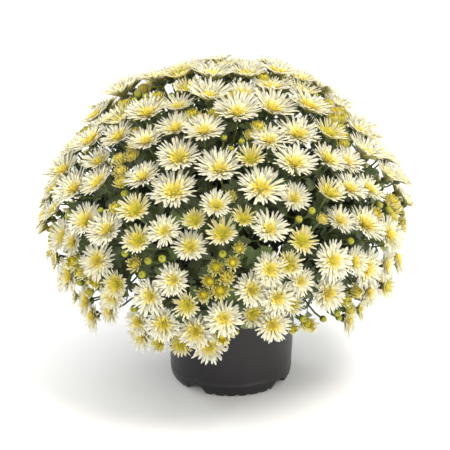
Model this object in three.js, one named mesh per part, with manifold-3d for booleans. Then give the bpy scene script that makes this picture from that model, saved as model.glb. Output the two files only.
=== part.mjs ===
// Pot chrysanthemum: a garden mum grown to a dome of cream spider daisies over dark lobed
// leaves, in a charcoal nursery pot. Millimetres, +Z up. The origin is on the surface that the
// pot stands on, under the middle of the plant's outline.
import * as THREE from "three";
import Module from "manifold-3d";
import { mergeVertices } from "three/addons/utils/BufferGeometryUtils.js";

const wasm = await Module();
wasm.setup();

// ---- Driving dimensions -------------------------------------------------------------------------

const DEGREE = Math.PI / 180;
const TURN = 2 * Math.PI;
const GOLDEN_ANGLE = Math.PI * (3 - Math.sqrt(5));
const CLEARANCE = 0.3; // between neighbouring pieces

// The nursery pot, 8 inches across its rim. The plant has grown a little to one side of it.
const POT_AXIS = { x: 12.2, y: -4.2 };
const PLANT_LEAN = -9.2; // the dome's axis from the pot's, along X
const POT_HEIGHT = 165;
const POT_BASE_RADIUS = 93;
const POT_TOP_RADIUS = 100.5;
const POT_WALL = 1.8;
const LIP_HEIGHT = 13;
const LIP_STEP = 2.4;
const FLOOR_THICKNESS = 2.5;
const FLOOR_RADIUS = 80; // inside, where the floor turns up to the wall
const FLOOR_BEND_HEIGHT = 12;
const UNDERSIDE_RADIUS = 84;
const CORNER_HEIGHT = 8;
const CORNER_INSET = 3.5;
const FEET = 18;
const FOOT_GAP_SHARE = 0.26; // of one foot's pitch
const FOOT_GAP_HEIGHT = 2.6;
const DRAIN_NOTCHES = 4;
const DRAIN_NOTCH_HEIGHT = 5.5;
const DRAIN_NOTCH_FIRST = 54; // degrees from +X to the middle of one notch
const DRAIN_NOTCH_SPAN = 15; // degrees

// The potting mix.
const SOIL_TOP = 140;
const SOIL_CROWN = 4; // rise of the surface in the middle
const SOIL_SHRINKAGE = 1.2; // gap to the pot's wall
const SOIL_SEGMENTS = 20;
const STEM_HOLE_DEPTH = 34;

// The surface that the blooms face out from: a dome above the waist and a skirt below it, both
// by the angle from straight up.
const WAIST_HEIGHT = 285;
const WAIST_RADIUS = 264;
const DOME_RISE = 197;
const DOME_POWER = 1.5;
const SKIRT_DROP = 232;
const SKIRT_POWER = 0.89;
const SKIRT_END = 128 * DEGREE;

// Open blooms, in sprays.
const LAYOUT_SEED = 25;
const SPRAYS = 26;
const SPRAY_PHASE = 3.338; // azimuth of the topmost spray, in radians
const BLOOMS_PER_SPRAY = 9;
const EXTRA_BLOOM_CHANCE = 0.8;
const SPRAY_SPREAD = 33; // between a spray's first blooms
const MAX_LINKS = 2; // blooms that one bloom interlocks with
const BLOOM_RADIUS = 18.5;
const BLOOM_RADIUS_RANGE = 8.5;
const SKIRT_SIZE = 0.9; // of a bloom at the ground, as a share
const TOP_SIZE_GAIN = 0.25; // more, on top of the dome, where blooms are widest
const OPENING_CHANCE = 0.25; // of a smaller bloom that has only just opened
const OPENING_SIZE = 0.75;
const LINKED_SPACING = 0.92; // of interlocked blooms, over the sum of their radii
const LOOSE_SPACING_TOP = 1; // the same, sought by blooms of different sprays
const LOOSE_SPACING_SKIRT = 1.35;
const SETTLING_STEPS = 220;
const SETTLING_GAIN = 0.17;
const BLOOM_LIFT = 14; // range of the blooms' height over the surface
const NORMAL_PULL = 0.75; // of the surface's normal on a flower's axis
const UPWARD_PULL = 0.36; // of the light
const LOWEST_FACING = 0.05; // rise of the most drooping flower's axis
const FACING_JITTER = 0.26;

// Half-open blooms and buds, in the gaps between the open ones.
const GAP_CANDIDATES = 1500;
const GAP_LOWEST = 0.94; // share of the surface that they keep to, from its top
const GAP_CHOICE = 120; // widest gaps among which each takes its place
const HALF_OPEN_COUNT = 64;
const HALF_OPEN_RADIUS = 10.5;
const BUD_COUNT = 48;
const BUD_RADIUS = 4.6;
const SMALL_SIZE_RANGE = 0.35;
const GAP_SINK = 5; // how far they sit below the surface, at most

// A bloom's form, as shares of its radius.
const PETALS = 5;
const PETALS_IF_SMALL = 4;
const SMALL_BLOOM_RADIUS = 23; // millimetres
const PETAL_REACH = 0.9;
const PETAL_JITTER = 0.12;
const NOTCH_RADIUS = 0.53;
const INNER_RADIUS = 0.38;
const INNER_HEIGHT = 0.27;
const HEART_HEIGHT = 0.12;
const LEAST_CUP = 0.06; // rise of the petals' tips
const CUP_RANGE = 0.36;
const OPENING_CUP = 0.3; // more, on a bloom that has only just opened
const BLOOM_DEPTH = 9; // millimetres from the petals' level down to the stalk
const LINK_REACH = 0.2; // from its parent's middle to a linked bloom's longest petal
const LINK_DEPTH = 2.7; // millimetres below the parent's petals

// Stems, stalks and leaves.
const STEM_SPREAD = 73; // radius within which the stems rise from the potting mix
const STEM_HUB_DEPTH = 66; // where a leafy stem divides, below its spray
const STEM_BASE_RADIUS = 4;
const STEM_TOP_RADIUS = 2.6;
const STEM_FLARE = 1.08; // of a stem's turning point, over its foot's distance from the axis
const STEM_BEND_SHARE = 0.55; // of a stem's height, up to its turning point
const LOW_HUB = 60; // above the rim: a stem with a lower hub first clears the rim
const LOW_BEND = 66; // above the rim, of such a stem's turning point
// Sections of a leafy stem, as shares of its length: closer where its stalks leave it.
const STEM_STOPS = [0, 0.34, 0.58, 0.67, 0.73, 0.79, 0.84, 0.88, 0.92, 0.96, 1];
const BARE_STEM_SECTIONS = 2;
const STALK_RADIUS = 1.4;
const STALK_STEP = 0.025; // between the roots of stalks, as a share of the stem
const STALK_TURNS = [0, 12, 24, 40, 60]; // how far behind a flower its stalk may turn
const LEAST_EASE = 0.2; // of a way out of a triangle: 1 is straight out, 0 along it
const ROOT_DETOUR = 30; // distance from a wished root that costs as much as one of ease
const STALK_ROOTS = 40; // triangles tried for a stalk, and for a leaf
const LEAF_ROOTS = 10;
const TOUCH_VOLUME = 0.02; // that an outgrowth may share with its own piece, where it grows out
const LEAVES_PER_STEM = 3;
const FIRST_LEAF = 0.92; // along the stem, as a share of its length
const LEAF_STEP = 0.08;
const LEAF_AIM = 40; // from the stem to the place that a leaf looks for its root toward
const LEAF_LENGTH = 82;
const LEAF_SIZES = [1, 0.85, 0.7];
const LEAF_LEANS = [0.5, 0.9, 0.2]; // toward the light, against straight out of the stem
const LEAF_KEEL = 1.7; // depth of a leaf's midrib below its upper face
// A leaf from its stalk's end to its last lobes: how far along, its half width and its lift, as
// shares of its length.
const LEAF_SECTIONS = [
  [0.28, 0.02, 0],
  [0.5, 0.2, -0.01],
  [0.6, 0.1, 0],
  [0.79, 0.16, -0.05],
];
const LEAF_TIP_DROP = 0.13;

const COLOURS = { pot: 0x3a383b, potting_mix: 0x3b2a20, leafy: 0x3f5632, blooms: 0xf1e9c4 };
const ROUGHNESS = { pot: 0.5, potting_mix: 0.95, leafy: 0.7, blooms: 0.8 };

// ---- Small helpers ------------------------------------------------------------------------------

const vec = (x, y, z) => new THREE.Vector3(x, y, z);
const UP = vec(0, 0, 1);
const counted = (n) => [...Array(n).keys()];
const between = (a, b) => vec().subVectors(b, a);
const stepped = (point, direction, distance) => point.clone().addScaledVector(direction, distance);

// A seeded generator of numbers from 0 to 1 (mulberry32).
function seededRandom(seed) {
  let state = seed >>> 0;
  return () => {
    state = (state + 0x6d2b79f5) >>> 0;
    let t = Math.imul(state ^ (state >>> 15), state | 1);
    t = (t + Math.imul(t ^ (t >>> 7), t | 61)) ^ t;
    return ((t ^ (t >>> 14)) >>> 0) / 4294967296;
  };
}

function perpendiculars(axis) {
  const side = vec().crossVectors(Math.abs(axis.z) < 0.9 ? UP : vec(1, 0, 0), axis).normalize();
  return [side, vec().crossVectors(axis, side)];
}

// A closed solid from triangles of points, seen anticlockwise from outside.
function solidOfTriangles(triangles) {
  const positions = new Float32Array(triangles.flat().flatMap((p) => [p.x, p.y, p.z]));
  const geometry = new THREE.BufferGeometry();
  geometry.setAttribute("position", new THREE.BufferAttribute(positions, 3));
  return solidOf(geometry);
}

function solidOf(geometry) {
  const bare = geometry.clone();
  bare.deleteAttribute("normal");
  bare.deleteAttribute("uv");
  const merged = mergeVertices(bare, 1e-4);
  return new wasm.Manifold(
    new wasm.Mesh({
      numProp: 3,
      vertProperties: new Float32Array(merged.attributes.position.array),
      triVerts: new Uint32Array(merged.index.array),
    }),
  );
}

function geometryOf(solid) {
  const { numProp, vertProperties, triVerts } = solid.getMesh();
  const positions = new Float32Array((vertProperties.length / numProp) * 3);
  for (let i = 0; i < positions.length / 3; i++)
    positions.set(vertProperties.subarray(i * numProp, i * numProp + 3), i * 3);
  const geometry = new THREE.BufferGeometry();
  geometry.setAttribute("position", new THREE.BufferAttribute(positions, 3));
  geometry.setIndex(new THREE.BufferAttribute(new Uint32Array(triVerts), 1));
  geometry.computeVertexNormals();
  return geometry;
}

const turnedFrom = (section, segments) =>
  new THREE.LatheGeometry(
    section.map(([radius, z]) => new THREE.Vector2(radius, z)),
    segments,
  );

// ---- The pot ------------------------------------------------------------------------------------

const wallAt = (z) => POT_BASE_RADIUS + ((POT_TOP_RADIUS - POT_BASE_RADIUS) * z) / POT_HEIGHT;

// How far the pot's bottom edge is lifted at an angle: low gaps between the feet, and four
// higher drain notches.
function edgeLift(degrees, isGap) {
  const pitch = 360 / DRAIN_NOTCHES;
  const turned = degrees - DRAIN_NOTCH_FIRST + 360 + pitch / 2;
  const offNotch = Math.abs((turned % pitch) - pitch / 2);
  if (offNotch < DRAIN_NOTCH_SPAN / 2) return DRAIN_NOTCH_HEIGHT;
  return isGap ? FOOT_GAP_HEIGHT : 0;
}

// The section of the pot from its underside's middle round to its floor's middle.
function potSection(lift) {
  const lipLow = POT_HEIGHT - LIP_HEIGHT;
  const corner = Math.max(CORNER_HEIGHT, lift + 4);
  return [
    [0, 0],
    [UNDERSIDE_RADIUS, 0],
    [POT_BASE_RADIUS - CORNER_INSET, lift],
    [wallAt(corner), corner],
    [wallAt(lipLow), lipLow],
    [wallAt(lipLow) + LIP_STEP, lipLow],
    [wallAt(POT_HEIGHT) + LIP_STEP, POT_HEIGHT],
    [wallAt(POT_HEIGHT) - POT_WALL, POT_HEIGHT],
    [wallAt(FLOOR_BEND_HEIGHT) - POT_WALL, FLOOR_BEND_HEIGHT],
    [FLOOR_RADIUS, FLOOR_THICKNESS],
    [0, FLOOR_THICKNESS],
  ];
}

// The pot is turned from its section, whose bottom edge follows the feet round.
function potSolid() {
  const pitch = 360 / FEET;
  const stops = counted(FEET).flatMap((foot) => [
    [foot * pitch, false],
    [(foot + 1 - FOOT_GAP_SHARE) * pitch, false],
    [(foot + 1 - FOOT_GAP_SHARE / 2) * pitch, true],
  ]);
  const across = potSection(0).length;
  const turned = turnedFrom(potSection(0), stops.length);
  const position = turned.attributes.position;
  for (let i = 0; i < position.count; i++) {
    const [degrees, isGap] = stops[Math.floor(i / across) % stops.length];
    const [radius, z] = potSection(edgeLift(degrees, isGap))[i % across];
    const angle = degrees * DEGREE;
    position.setXYZ(i, radius * Math.cos(angle), radius * Math.sin(angle), z);
  }
  return solidOf(turned);
}

// ---- The flowering surface ----------------------------------------------------------------------

// The radius and height of the surface at an angle from straight up.
function profileAt(angle) {
  const across = Math.cos(angle);
  const rise =
    across >= 0 ? DOME_RISE * across ** DOME_POWER : -SKIRT_DROP * (-across) ** SKIRT_POWER;
  return { radius: WAIST_RADIUS * Math.sin(angle), height: WAIST_HEIGHT + rise };
}

function surfacePoint(angle, azimuth) {
  const { radius, height } = profileAt(angle);
  return vec(radius * Math.cos(azimuth), radius * Math.sin(azimuth), height);
}

// The surface's angle at a point that may have drifted a little off it.
function angleOf(point) {
  const rise = point.z - WAIST_HEIGHT;
  const across =
    rise >= 0
      ? (rise / DOME_RISE) ** (1 / DOME_POWER)
      : -((-rise / SKIRT_DROP) ** (1 / SKIRT_POWER));
  const out = Math.hypot(point.x, point.y) / WAIST_RADIUS;
  return Math.min(Math.atan2(out, across), SKIRT_END);
}

const azimuthOf = (point) => Math.atan2(point.y, point.x);
const backToSurface = (point) => surfacePoint(angleOf(point), azimuthOf(point));

function surfaceNormal(angle, azimuth) {
  const step = 0.01;
  const above = profileAt(Math.max(angle - step, 0));
  const below = profileAt(angle + step);
  const length = Math.hypot(below.radius - above.radius, below.height - above.height);
  const out = (above.height - below.height) / length;
  const up = (below.radius - above.radius) / length;
  return vec(out * Math.cos(azimuth), out * Math.sin(azimuth), up);
}

// The angle above which the given share of the surface's area lies.
const SURFACE_BANDS = 400;
const areaAbove = [0];
for (let i = 0; i < SURFACE_BANDS; i++) {
  const a = profileAt((SKIRT_END * i) / SURFACE_BANDS);
  const b = profileAt((SKIRT_END * (i + 1)) / SURFACE_BANDS);
  const slant = Math.hypot(b.radius - a.radius, b.height - a.height);
  areaAbove.push(areaAbove[i] + (slant * (a.radius + b.radius)) / 2);
}
function angleAtShare(share) {
  const wanted = share * areaAbove[SURFACE_BANDS];
  const band = areaAbove.findIndex((area) => area > wanted) - 1;
  const part = (wanted - areaAbove[band]) / (areaAbove[band + 1] - areaAbove[band]);
  return (SKIRT_END * (band + part)) / SURFACE_BANDS;
}

const sprayAngle = (spray) => angleAtShare((spray + 0.4) / (SPRAYS + 0.9));
const sprayAzimuth = (spray) => spray * GOLDEN_ANGLE + SPRAY_PHASE;

// ---- Where the flowers are ----------------------------------------------------------------------

const jitters = (random) => [random() - 0.5, random() - 0.5, random() - 0.5];

// Each spray starts as a small spiral of blooms round its place on the dome, and each bloom is
// linked to the nearest earlier one of its spray that has links to spare.
function plantSprays(random) {
  const blooms = [];
  for (const spray of counted(SPRAYS)) {
    const middle = surfacePoint(sprayAngle(spray), sprayAzimuth(spray));
    const [east, north] = perpendiculars(surfaceNormal(sprayAngle(spray), sprayAzimuth(spray)));
    const share = middle.z / (WAIST_HEIGHT + DOME_RISE);
    const own = [];
    const count = BLOOMS_PER_SPRAY + (random() < EXTRA_BLOOM_CHANCE ? 1 : 0);
    for (let b = 0; b < count; b++) {
      const opening = random() < OPENING_CHANCE;
      const grown = (SKIRT_SIZE + TOP_SIZE_GAIN * share) * (opening ? OPENING_SIZE : 1);
      const radius = grown * (BLOOM_RADIUS + BLOOM_RADIUS_RANGE * random());
      const turn = b * GOLDEN_ANGLE + spray + 0.9 * random();
      const reach = SPRAY_SPREAD * Math.sqrt(b);
      const start = stepped(middle, east, reach * Math.cos(turn));
      start.addScaledVector(north, reach * Math.sin(turn));
      const place = backToSurface(start);
      const bloom = { kind: "open", spray, radius, opening, place, links: [] };
      bloom.lift = BLOOM_LIFT * (random() - 0.5);
      bloom.jitter = jitters(random);
      bloom.cup = LEAST_CUP + CUP_RANGE * random() + (opening ? OPENING_CUP : 0);
      const distance = (other) => other.place.distanceTo(bloom.place);
      const free = own.filter((other) => other.links.length < MAX_LINKS);
      [bloom.parent] = free.sort((p, q) => distance(p) - distance(q));
      if (bloom.parent) {
        bloom.links.push(bloom.parent);
        bloom.parent.links.push(bloom);
      }
      own.push(bloom);
    }
    blooms.push(...own);
  }
  return blooms;
}

// Blooms crowd more closely toward the top of the dome.
function looseSpacing(a, b) {
  const share = (a.place.z + b.place.z) / 2 / (WAIST_HEIGHT + DOME_RISE);
  return LOOSE_SPACING_SKIRT + (LOOSE_SPACING_TOP - LOOSE_SPACING_SKIRT) * share;
}

// Linked blooms draw together until their petals interlock, and all others move apart.
function settle(blooms) {
  for (let step = 0; step < SETTLING_STEPS; step++) {
    const moves = blooms.map(() => vec(0, 0, 0));
    blooms.forEach((a, i) =>
      blooms.forEach((b, j) => {
        if (j <= i) return;
        const linked = a.links.includes(b);
        const rest = (a.radius + b.radius) * (linked ? LINKED_SPACING : looseSpacing(a, b));
        const distance = a.place.distanceTo(b.place);
        if (!linked && distance >= rest) return;
        const push = (SETTLING_GAIN * (rest - distance)) / Math.max(distance, 1);
        moves[i].addScaledVector(between(a.place, b.place), -push);
        moves[j].addScaledVector(between(a.place, b.place), push);
      }),
    );
    blooms.forEach((bloom, i) => bloom.place.copy(backToSurface(bloom.place.add(moves[i]))));
  }
}

// Gives a flower its seat over the surface and the way that it faces.
function seat(flower, lift) {
  const normal = surfaceNormal(angleOf(flower.place), azimuthOf(flower.place));
  const axis = normal.clone().multiplyScalar(NORMAL_PULL).addScaledVector(UP, UPWARD_PULL);
  axis.addScaledVector(vec(...flower.jitter), FACING_JITTER);
  axis.z = Math.max(axis.z, LOWEST_FACING * Math.hypot(axis.x, axis.y));
  flower.axis = axis.normalize();
  flower.centre = stepped(flower.place, normal, lift);
  flower.centre.x += PLANT_LEAN;
}

// Half-open blooms and then buds go one after another into one of the widest gaps left.
function fillGaps(blooms, random) {
  const spots = counted(GAP_CANDIDATES).map((i) => {
    const share = (GAP_LOWEST * (i + 0.5)) / GAP_CANDIDATES;
    return { place: surfacePoint(angleAtShare(share), i * GOLDEN_ANGLE), gap: Infinity };
  });
  const narrow = ({ place, radius }) => {
    for (const spot of spots)
      spot.gap = Math.min(spot.gap, spot.place.distanceTo(place) - radius);
  };
  blooms.forEach(narrow);
  return counted(HALF_OPEN_COUNT + BUD_COUNT).map((i) => {
    const kind = i < HALF_OPEN_COUNT ? "half_open" : "bud";
    const size = kind === "bud" ? BUD_RADIUS : HALF_OPEN_RADIUS;
    const radius = size * (1 + SMALL_SIZE_RANGE * (random() - 0.5));
    const widest = [...spots].sort((p, q) => q.gap - p.gap);
    const { place } = widest[Math.floor(GAP_CHOICE * random())];
    const nearer = (p, q) => (q.place.distanceTo(place) < p.place.distanceTo(place) ? q : p);
    const flower = { kind, radius, place, spray: blooms.reduce(nearer).spray };
    flower.jitter = jitters(random);
    seat(flower, -GAP_SINK * random());
    narrow(flower);
    return flower;
  });
}

const random = seededRandom(LAYOUT_SEED);
const blooms = plantSprays(random);
settle(blooms);
for (const bloom of blooms) seat(bloom, bloom.lift);
const flowers = [...blooms, ...fillGaps(blooms, random)];

// ---- Open blooms --------------------------------------------------------------------------------

// An open bloom: a whorl of long pointed petals over a tapering base, an inner whorl of raised
// petals between them, and a sunken heart. The petal that points to the bloom's parent reaches
// into it, so that a spray's blooms hold together.
function bloomSolid({ centre, axis, radius, cup, parent }, number) {
  const jitter = seededRandom(number + 1);
  const [u, v] = perpendiculars(axis);
  const toParent = parent ? between(centre, parent.centre) : u;
  const first = Math.atan2(toParent.dot(v), toParent.dot(u));
  const at = (angle, across, up) =>
    stepped(centre, axis, up * radius)
      .addScaledVector(u, across * radius * Math.cos(angle))
      .addScaledVector(v, across * radius * Math.sin(angle));
  const petals = radius < SMALL_BLOOM_RADIUS ? PETALS_IF_SMALL : PETALS;
  const tips = [];
  const notches = [];
  const raised = [];
  for (let k = 0; k < petals; k++) {
    const angle = first + (k * TURN) / petals;
    const gap = angle + TURN / petals / 2;
    const length = PETAL_REACH + PETAL_JITTER * (2 * jitter() - 1);
    tips.push(at(angle, length, cup * (0.7 + 0.6 * jitter())));
    notches.push(at(gap, NOTCH_RADIUS, 0));
    raised.push(at(gap, INNER_RADIUS, INNER_HEIGHT));
  }
  if (parent) {
    const reach = between(parent.centre, centre).normalize();
    tips[0] = stepped(parent.centre, reach, LINK_REACH * parent.radius);
    tips[0].addScaledVector(parent.axis, -LINK_DEPTH);
  }
  const heart = at(0, 0, HEART_HEIGHT);
  const base = stepped(centre, axis, -BLOOM_DEPTH);
  const triangles = tips.flatMap((tip, k) => {
    const next = (k + 1) % petals;
    return [
      [tip, notches[k], raised[k]],
      [notches[k], tips[next], raised[k]],
      [raised[k], tips[next], raised[next]],
      [raised[k], raised[next], heart],
      [tip, base, notches[k]],
      [notches[k], base, tips[next]],
    ];
  });
  return solidOfTriangles(triangles);
}

// A bloom cut back where it would meet the blooms of other sprays.
const NEAR_ENOUGH = 1.35; // sums of the radii within which two blooms might meet
function clearOfOtherSprays(bloom, solid) {
  let kept = solid;
  for (const other of blooms) {
    const apart = between(other.centre, bloom.centre);
    const reach = bloom.radius + other.radius;
    if (other.spray === bloom.spray || apart.length() > NEAR_ENOUGH * reach) continue;
    const border = stepped(other.centre, apart, other.radius / reach);
    const normal = apart.normalize();
    kept = kept.trimByPlane(normal.toArray(), border.dot(normal) + CLEARANCE);
  }
  return kept;
}

// ---- Leafy stems --------------------------------------------------------------------------------

// A leafy stem is one skin. It starts as a three-sided stem, and each stalk or leaf grows out of
// one triangle of it.

const middleOf = ([a, b, c]) => a.clone().add(b).add(c).divideScalar(3);
const outwardOf = ([a, b, c]) => vec().crossVectors(between(a, b), between(a, c)).normalize();
const spokeOf = (ring) => between(middleOf(ring), ring[0]);

// A regular ring round an axis, whose first point lies the way of a spoke.
function ringRound(centre, axis, radius, spoke, count = 3) {
  const u = stepped(spoke, axis, -spoke.dot(axis)).normalize();
  const v = vec().crossVectors(axis, u);
  return counted(count).map((k) =>
    stepped(centre, u, radius * Math.cos((k * TURN) / count)).addScaledVector(
      v,
      radius * Math.sin((k * TURN) / count),
    ),
  );
}

function directionAt(line, i) {
  return between(line[Math.max(i - 1, 0)], line[Math.min(i + 1, line.length - 1)]).normalize();
}

// Triangles between two rings, of which the upper may have twice as many points.
function band(lower, upper) {
  const step = upper.length / lower.length;
  return lower.flatMap((here, k) => {
    const next = lower[(k + 1) % lower.length];
    const above = upper[k * step];
    const aboveNext = upper[(k * step + step) % upper.length];
    if (step === 1) return [[here, next, aboveNext], [here, aboveNext, above]];
    const amid = upper[k * step + 1];
    return [[here, amid, above], [here, next, amid], [next, aboveNext, amid]];
  });
}

// Triangles of an outgrowth from a root triangle through the given rings, closed flat or by a
// point beyond the last one.
function outgrowth(root, rings, tip) {
  const sides = rings.flatMap((ring, i) => band(i ? rings[i - 1] : root, ring));
  const last = rings[rings.length - 1];
  if (!tip) return [...sides, last];
  return [...sides, ...last.map((point, k) => [point, last[(k + 1) % last.length], tip])];
}

// The rings of a three-sided tube along a line, from the spoke of whatever it grows from.
function tubeRings(line, radiusAt, spoke) {
  let turned = spoke;
  return line.map((point, i) => {
    const ring = ringRound(point, directionAt(line, i), radiusAt(i), turned);
    turned = spokeOf(ring);
    return ring;
  });
}

// What a stalk carries, as the last rings of its skin and the point that closes it: nothing, a
// half-open cup of upright petals round a sunken heart, or a closed bud. All can be swollen.
const CARRIED = {
  open: () => [[], null],
  half_open: ({ centre, axis, radius }, spoke, swell) => {
    const wide = radius + swell;
    const rim = ringRound(centre, axis, wide, spoke, 6);
    rim.forEach((point, k) => point.addScaledVector(axis, (k % 2 ? 0.75 : 0.25) * wide));
    return [[rim], stepped(centre, axis, 0.3 * radius + swell)];
  },
  bud: ({ centre, axis, radius }, spoke, swell) => [
    [ringRound(centre, axis, radius + swell, spoke)],
    stepped(centre, axis, radius + swell),
  ],
};
const STALK_END = {
  open: () => BLOOM_DEPTH + 2 * CLEARANCE,
  half_open: ({ radius }) => 0.9 * radius,
  bud: ({ radius }) => 1.3 * radius,
};

// A stalk that leads from a triangle to the back of a flower, by way of a turning point.
function stalk(root, flower, turn, swell) {
  const end = stepped(flower.centre, flower.axis, -STALK_END[flower.kind](flower));
  const stops = turn ? [stepped(end, flower.axis, -turn), end] : [end];
  const line = [middleOf(root), ...stops];
  const rings = tubeRings(line, () => STALK_RADIUS + swell, spokeOf(root)).slice(1);
  const spoke = spokeOf(rings[rings.length - 1]);
  const [carried, tip] = CARRIED[flower.kind](flower, spoke, swell);
  return outgrowth(root, [...rings, ...carried], tip);
}

// A lobed leaf with a keel, that grows from a triangle along a direction, facing a normal.
function leaf(root, { along, normal, length }, swell) {
  const side = vec().crossVectors(normal, along);
  const at = (share, across, lift) =>
    stepped(middleOf(root), along, share * length)
      .addScaledVector(side, across)
      .addScaledVector(normal, lift);
  const rings = LEAF_SECTIONS.map(([share, width, lift]) => [
    at(share, width * length + swell, lift * length + swell),
    at(share, -width * length - swell, lift * length + swell),
    at(share, 0, lift * length - LEAF_KEEL - swell),
  ]);
  const misfit = (turn) =>
    root.reduce((sum, point, k) => sum + point.distanceTo(rings[0][(k + turn) % 3]), 0);
  const turn = [0, 1, 2].reduce((best, k) => (misfit(k) < misfit(best) ? k : best));
  const turned = rings.map((ring) => ring.map((_, k) => ring[(k + turn) % 3]));
  return outgrowth(root, turned, at(1 + swell / length, 0, -LEAF_TIP_DROP * length));
}

// The line of a leafy stem: up out of the potting mix, clear of the pot's rim, to its hub.
function stemLine(spray) {
  const azimuth = sprayAzimuth(spray);
  const normal = surfaceNormal(sprayAngle(spray), azimuth);
  const hub = surfacePoint(sprayAngle(spray), azimuth).addScaledVector(normal, -STEM_HUB_DEPTH);
  hub.x += PLANT_LEAN;
  const foot = STEM_SPREAD * Math.sqrt((spray + 0.6) / SPRAYS);
  const depth = SOIL_TOP - STEM_HOLE_DEPTH;
  const start = vec(foot * Math.cos(azimuth), foot * Math.sin(azimuth), depth);
  const isLow = hub.z < POT_HEIGHT + LOW_HUB;
  const free = THREE.MathUtils.lerp(SOIL_TOP, hub.z, STEM_BEND_SHARE);
  const bendHeight = isLow ? POT_HEIGHT + LOW_BEND : free;
  const bend = vec(STEM_FLARE * start.x, STEM_FLARE * start.y, bendHeight);
  const curve = new THREE.QuadraticBezierCurve3(start, bend, hub);
  return STEM_STOPS.map((share) => curve.getPointAt(share));
}

function pointAlong(line, share) {
  const i = Math.max(STEM_STOPS.findIndex((stop) => stop >= share), 1);
  const part = (share - STEM_STOPS[i - 1]) / (STEM_STOPS[i] - STEM_STOPS[i - 1]);
  return line[i - 1].clone().lerp(line[i], part);
}

function startStem(spray) {
  const line = stemLine(spray);
  const radiusAt = (i) =>
    STEM_BASE_RADIUS + (STEM_TOP_RADIUS - STEM_BASE_RADIUS) * STEM_STOPS[i];
  const rings = tubeRings(line, radiusAt, vec(0.3, 1, 0.2));
  const foot = [...rings[0]].reverse();
  const triangles = [foot, ...outgrowth(rings[0], rings.slice(1), null)];
  const free = triangles.slice(1 + 6 * BARE_STEM_SECTIONS);
  return { spray, line, triangles, free, owner: `stem ${spray}` };
}

// Everything placed so far, with its owner and its bounds.
const placed = [];
function keep(solid, owner) {
  const { min, max } = solid.boundingBox();
  placed.push({ solid, owner, min, max });
}

// Whether an outgrowth is clear: swollen by its clearance from what other pieces own, and as it
// is from what its own piece already holds.
function isClear(swollen, exact, owner) {
  const { min, max } = swollen.boundingBox();
  return placed.every((p) => {
    if ([0, 1, 2].some((k) => p.min[k] > max[k] || p.max[k] < min[k])) return true;
    if (p.owner === owner) return p.solid.intersect(exact).volume() < TOUCH_VOLUME;
    return p.solid.intersect(swollen).isEmpty();
  });
}

// Grows something out of the first of the offered triangles that gives it a clear way.
function sprout(stem, offers) {
  for (const { root, grow } of offers) {
    const back = [...root].reverse();
    const exact = solidOfTriangles([back, ...grow(0)]);
    const swollen = solidOfTriangles([back, ...grow(2 * CLEARANCE)]);
    if (!isClear(swollen, exact, stem.owner)) continue;
    keep(exact, stem.owner);
    stem.triangles.splice(stem.triangles.indexOf(root), 1, ...grow(0));
    stem.free.splice(stem.free.indexOf(root), 1);
    return true;
  }
  return false;
}

// The free triangles that look toward a place, those nearest to a wished root first.
function rootsToward(stem, place, wished, most) {
  const scored = stem.free.map((root) => {
    const ease = outwardOf(root).dot(between(middleOf(root), place).normalize());
    return { root, ease, cost: middleOf(root).distanceTo(wished) / ROOT_DETOUR - ease };
  });
  const open = scored.filter(({ ease }) => ease > LEAST_EASE);
  return open.sort((p, q) => p.cost - q.cost).slice(0, most).map(({ root }) => root);
}

// The flowers nearest to the stem's axis have their stalks highest on it, as in a corymb.
function growStalks(stem) {
  const last = stem.line.length - 1;
  const way = directionAt(stem.line, last);
  const aside = ({ centre }) => between(stem.line[last], centre).cross(way).length();
  const own = flowers.filter(({ spray }) => spray === stem.spray);
  own.sort((p, q) => aside(p) - aside(q));
  own.forEach((flower, i) => {
    const wished = pointAlong(stem.line, 1 - STALK_STEP * i);
    const offers = STALK_TURNS.flatMap((turn) => {
      const place = stepped(flower.centre, flower.axis, -turn - BLOOM_DEPTH);
      const roots = rootsToward(stem, place, wished, STALK_ROOTS);
      return roots.map((root) => ({ root, grow: (swell) => stalk(root, flower, turn, swell) }));
    });
    if (!sprout(stem, offers)) leftOut[flower.kind]++;
  });
}

// Leaves reach from the upper stem to just under the flowers, with their faces to the light.
function growLeaves(stem) {
  const skyward = surfaceNormal(sprayAngle(stem.spray), sprayAzimuth(stem.spray));
  const facing = stepped(skyward, UP, UPWARD_PULL).normalize();
  const [u, v] = perpendiculars(skyward);
  for (const number of counted(LEAVES_PER_STEM)) {
    const wished = pointAlong(stem.line, FIRST_LEAF - LEAF_STEP * number);
    const turn = (number + stem.spray) * GOLDEN_ANGLE;
    const aim = stepped(wished, u, LEAF_AIM * Math.cos(turn));
    aim.addScaledVector(v, LEAF_AIM * Math.sin(turn));
    const roots = rootsToward(stem, aim, wished, LEAF_ROOTS);
    const offers = LEAF_SIZES.flatMap((size) =>
      LEAF_LEANS.flatMap((lean) =>
        roots.map((root) => {
          const along = outwardOf(root).addScaledVector(skyward, lean).normalize();
          const normal = stepped(facing, along, -facing.dot(along)).normalize();
          const form = { along, normal, length: size * LEAF_LENGTH };
          return { root, grow: (swell) => leaf(root, form, swell) };
        }),
      ),
    );
    if (!sprout(stem, offers)) leftOut.leaf++;
  }
}

// ---- The potting mix ----------------------------------------------------------------------------

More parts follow.
